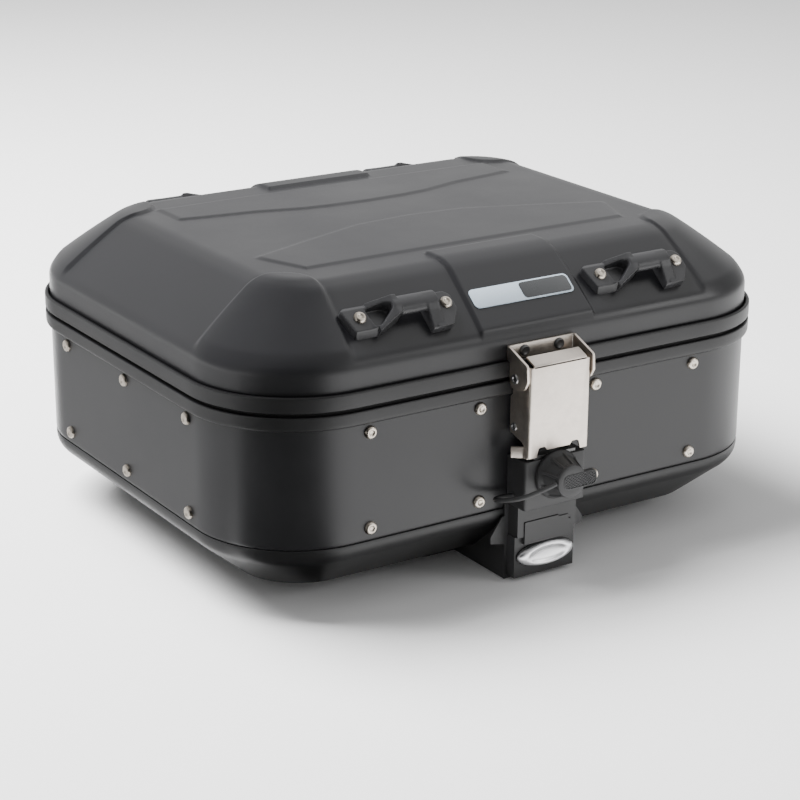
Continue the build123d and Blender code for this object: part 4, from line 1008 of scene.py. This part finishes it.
def area(name, loc, target, sx, sy, power, color=(1, 1, 1)):
    l = bpy.data.lights.new(name, "AREA")
    l.shape = "RECTANGLE"
    l.size, l.size_y = sx, sy
    l.energy = power
    l.color = color
    o = bpy.data.objects.new(name, l)
    bpy.context.scene.collection.objects.link(o)
    o.location = loc
    o.rotation_euler = (Vector(target) - Vector(loc)).to_track_quat("-Z", "Y").to_euler()
    o.visible_camera = False
    return o


def card(name, c, w, h, normal, strength):
    """A studio card that only reflections see: a dark flag, or a bright bounce."""
    n = Vector(normal).normalized()
    u = Vector((0, 0, 1)).cross(n)
    u = u.normalized() if u.length > 1e-4 else Vector((1, 0, 0))
    v = n.cross(u)
    c = Vector(c)
    me = bpy.data.meshes.new(name)
    me.from_pydata([c + u * a * w / 2 + v * b * h / 2 for a, b in ((-1, -1), (1, -1), (1, 1), (-1, 1))], [], [(0, 1, 2, 3)])
    ob = bpy.data.objects.new(name, me)
    bpy.context.scene.collection.objects.link(ob)
    m = bpy.data.materials.new(name)
    m.use_nodes = True
    nt = m.node_tree
    nt.nodes.remove(nt.nodes["Principled BSDF"])
    em = nt.nodes.new("ShaderNodeEmission")
    em.inputs["Strength"].default_value = strength
    nt.links.new(em.outputs[0], nt.nodes["Material Output"].inputs["Surface"])
    me.materials.append(m)
    ob.visible_camera = ob.visible_diffuse = ob.visible_shadow = ob.visible_transmission = False
    return ob


area("soft_key", (-0.75, 0.95, 1.9), (0, 0, 0), 1.5, 1.5, 210).visible_glossy = False
area("soft_right", (1.5, -1.7, 0.9), (0.05, -0.1, 0.12), 0.8, 0.9, 9)
view = Vector((math.sin(math.radians(-33)), -math.cos(math.radians(33)), 0))
corner_pt = Vector((-0.2, -0.16, 0))
card("flag_front", corner_pt + view * 0.42 + Vector((0, 0, 0.35)), 0.6, 0.7, -view, 0.0)
card("flag_corner", (-0.58, -0.57, 0.0008), 0.86, 0.86, (0, 0, 1), 0.0)
card("bounce_front", (0.305, -0.575, 0.0008), 0.89, 0.69, (0, 0, 1), 2.9)
card("bounce_left", (-0.668, 0.64, 0.0008), 0.864, 1.52, (0, 0, 1), 1.1)
card("bounce_back", (0.35, 1.3, 0.75), 4.2, 1.5, (-0.3, -0.95, 0), 0.95)
card("bounce_over", (0.75, 0.0, 1.2), 1.6, 1.1, (-0.515, 0, -0.855), 1.3)

# camera, in millimetres round the case's middle
AZ, EL, ROLL, DIST, TX, TZ, FPX = -32.918, 19.161, 0.265, 1692.757, 3.786, -21.712, 2205.311
a, e, r = (math.radians(v) for v in (AZ, EL, ROLL))
back = Vector((math.sin(a) * math.cos(e), -math.cos(a) * math.cos(e), math.sin(e)))
right = Vector((0, 0, 1)).cross(back).normalized()
up = back.cross(right)
R2 = right * math.cos(r) + up * math.sin(r)
U2 = -right * math.sin(r) + up * math.cos(r)
pos = (back * DIST + right * TX + up * TZ + Vector((0, 0, 97.0))) * MM
cam = bpy.data.cameras.new("camera")
cam.sensor_fit = "HORIZONTAL"
cam.sensor_width = 36.0
cam.lens = FPX * 36.0 / 800.0
cam.clip_end = 50.0
co = bpy.data.objects.new("camera", cam)
bpy.context.scene.collection.objects.link(co)
rot = Matrix((R2, U2, back)).transposed().to_4x4()
co.matrix_world = Matrix.Translation(pos) @ rot
bpy.context.scene.camera = co
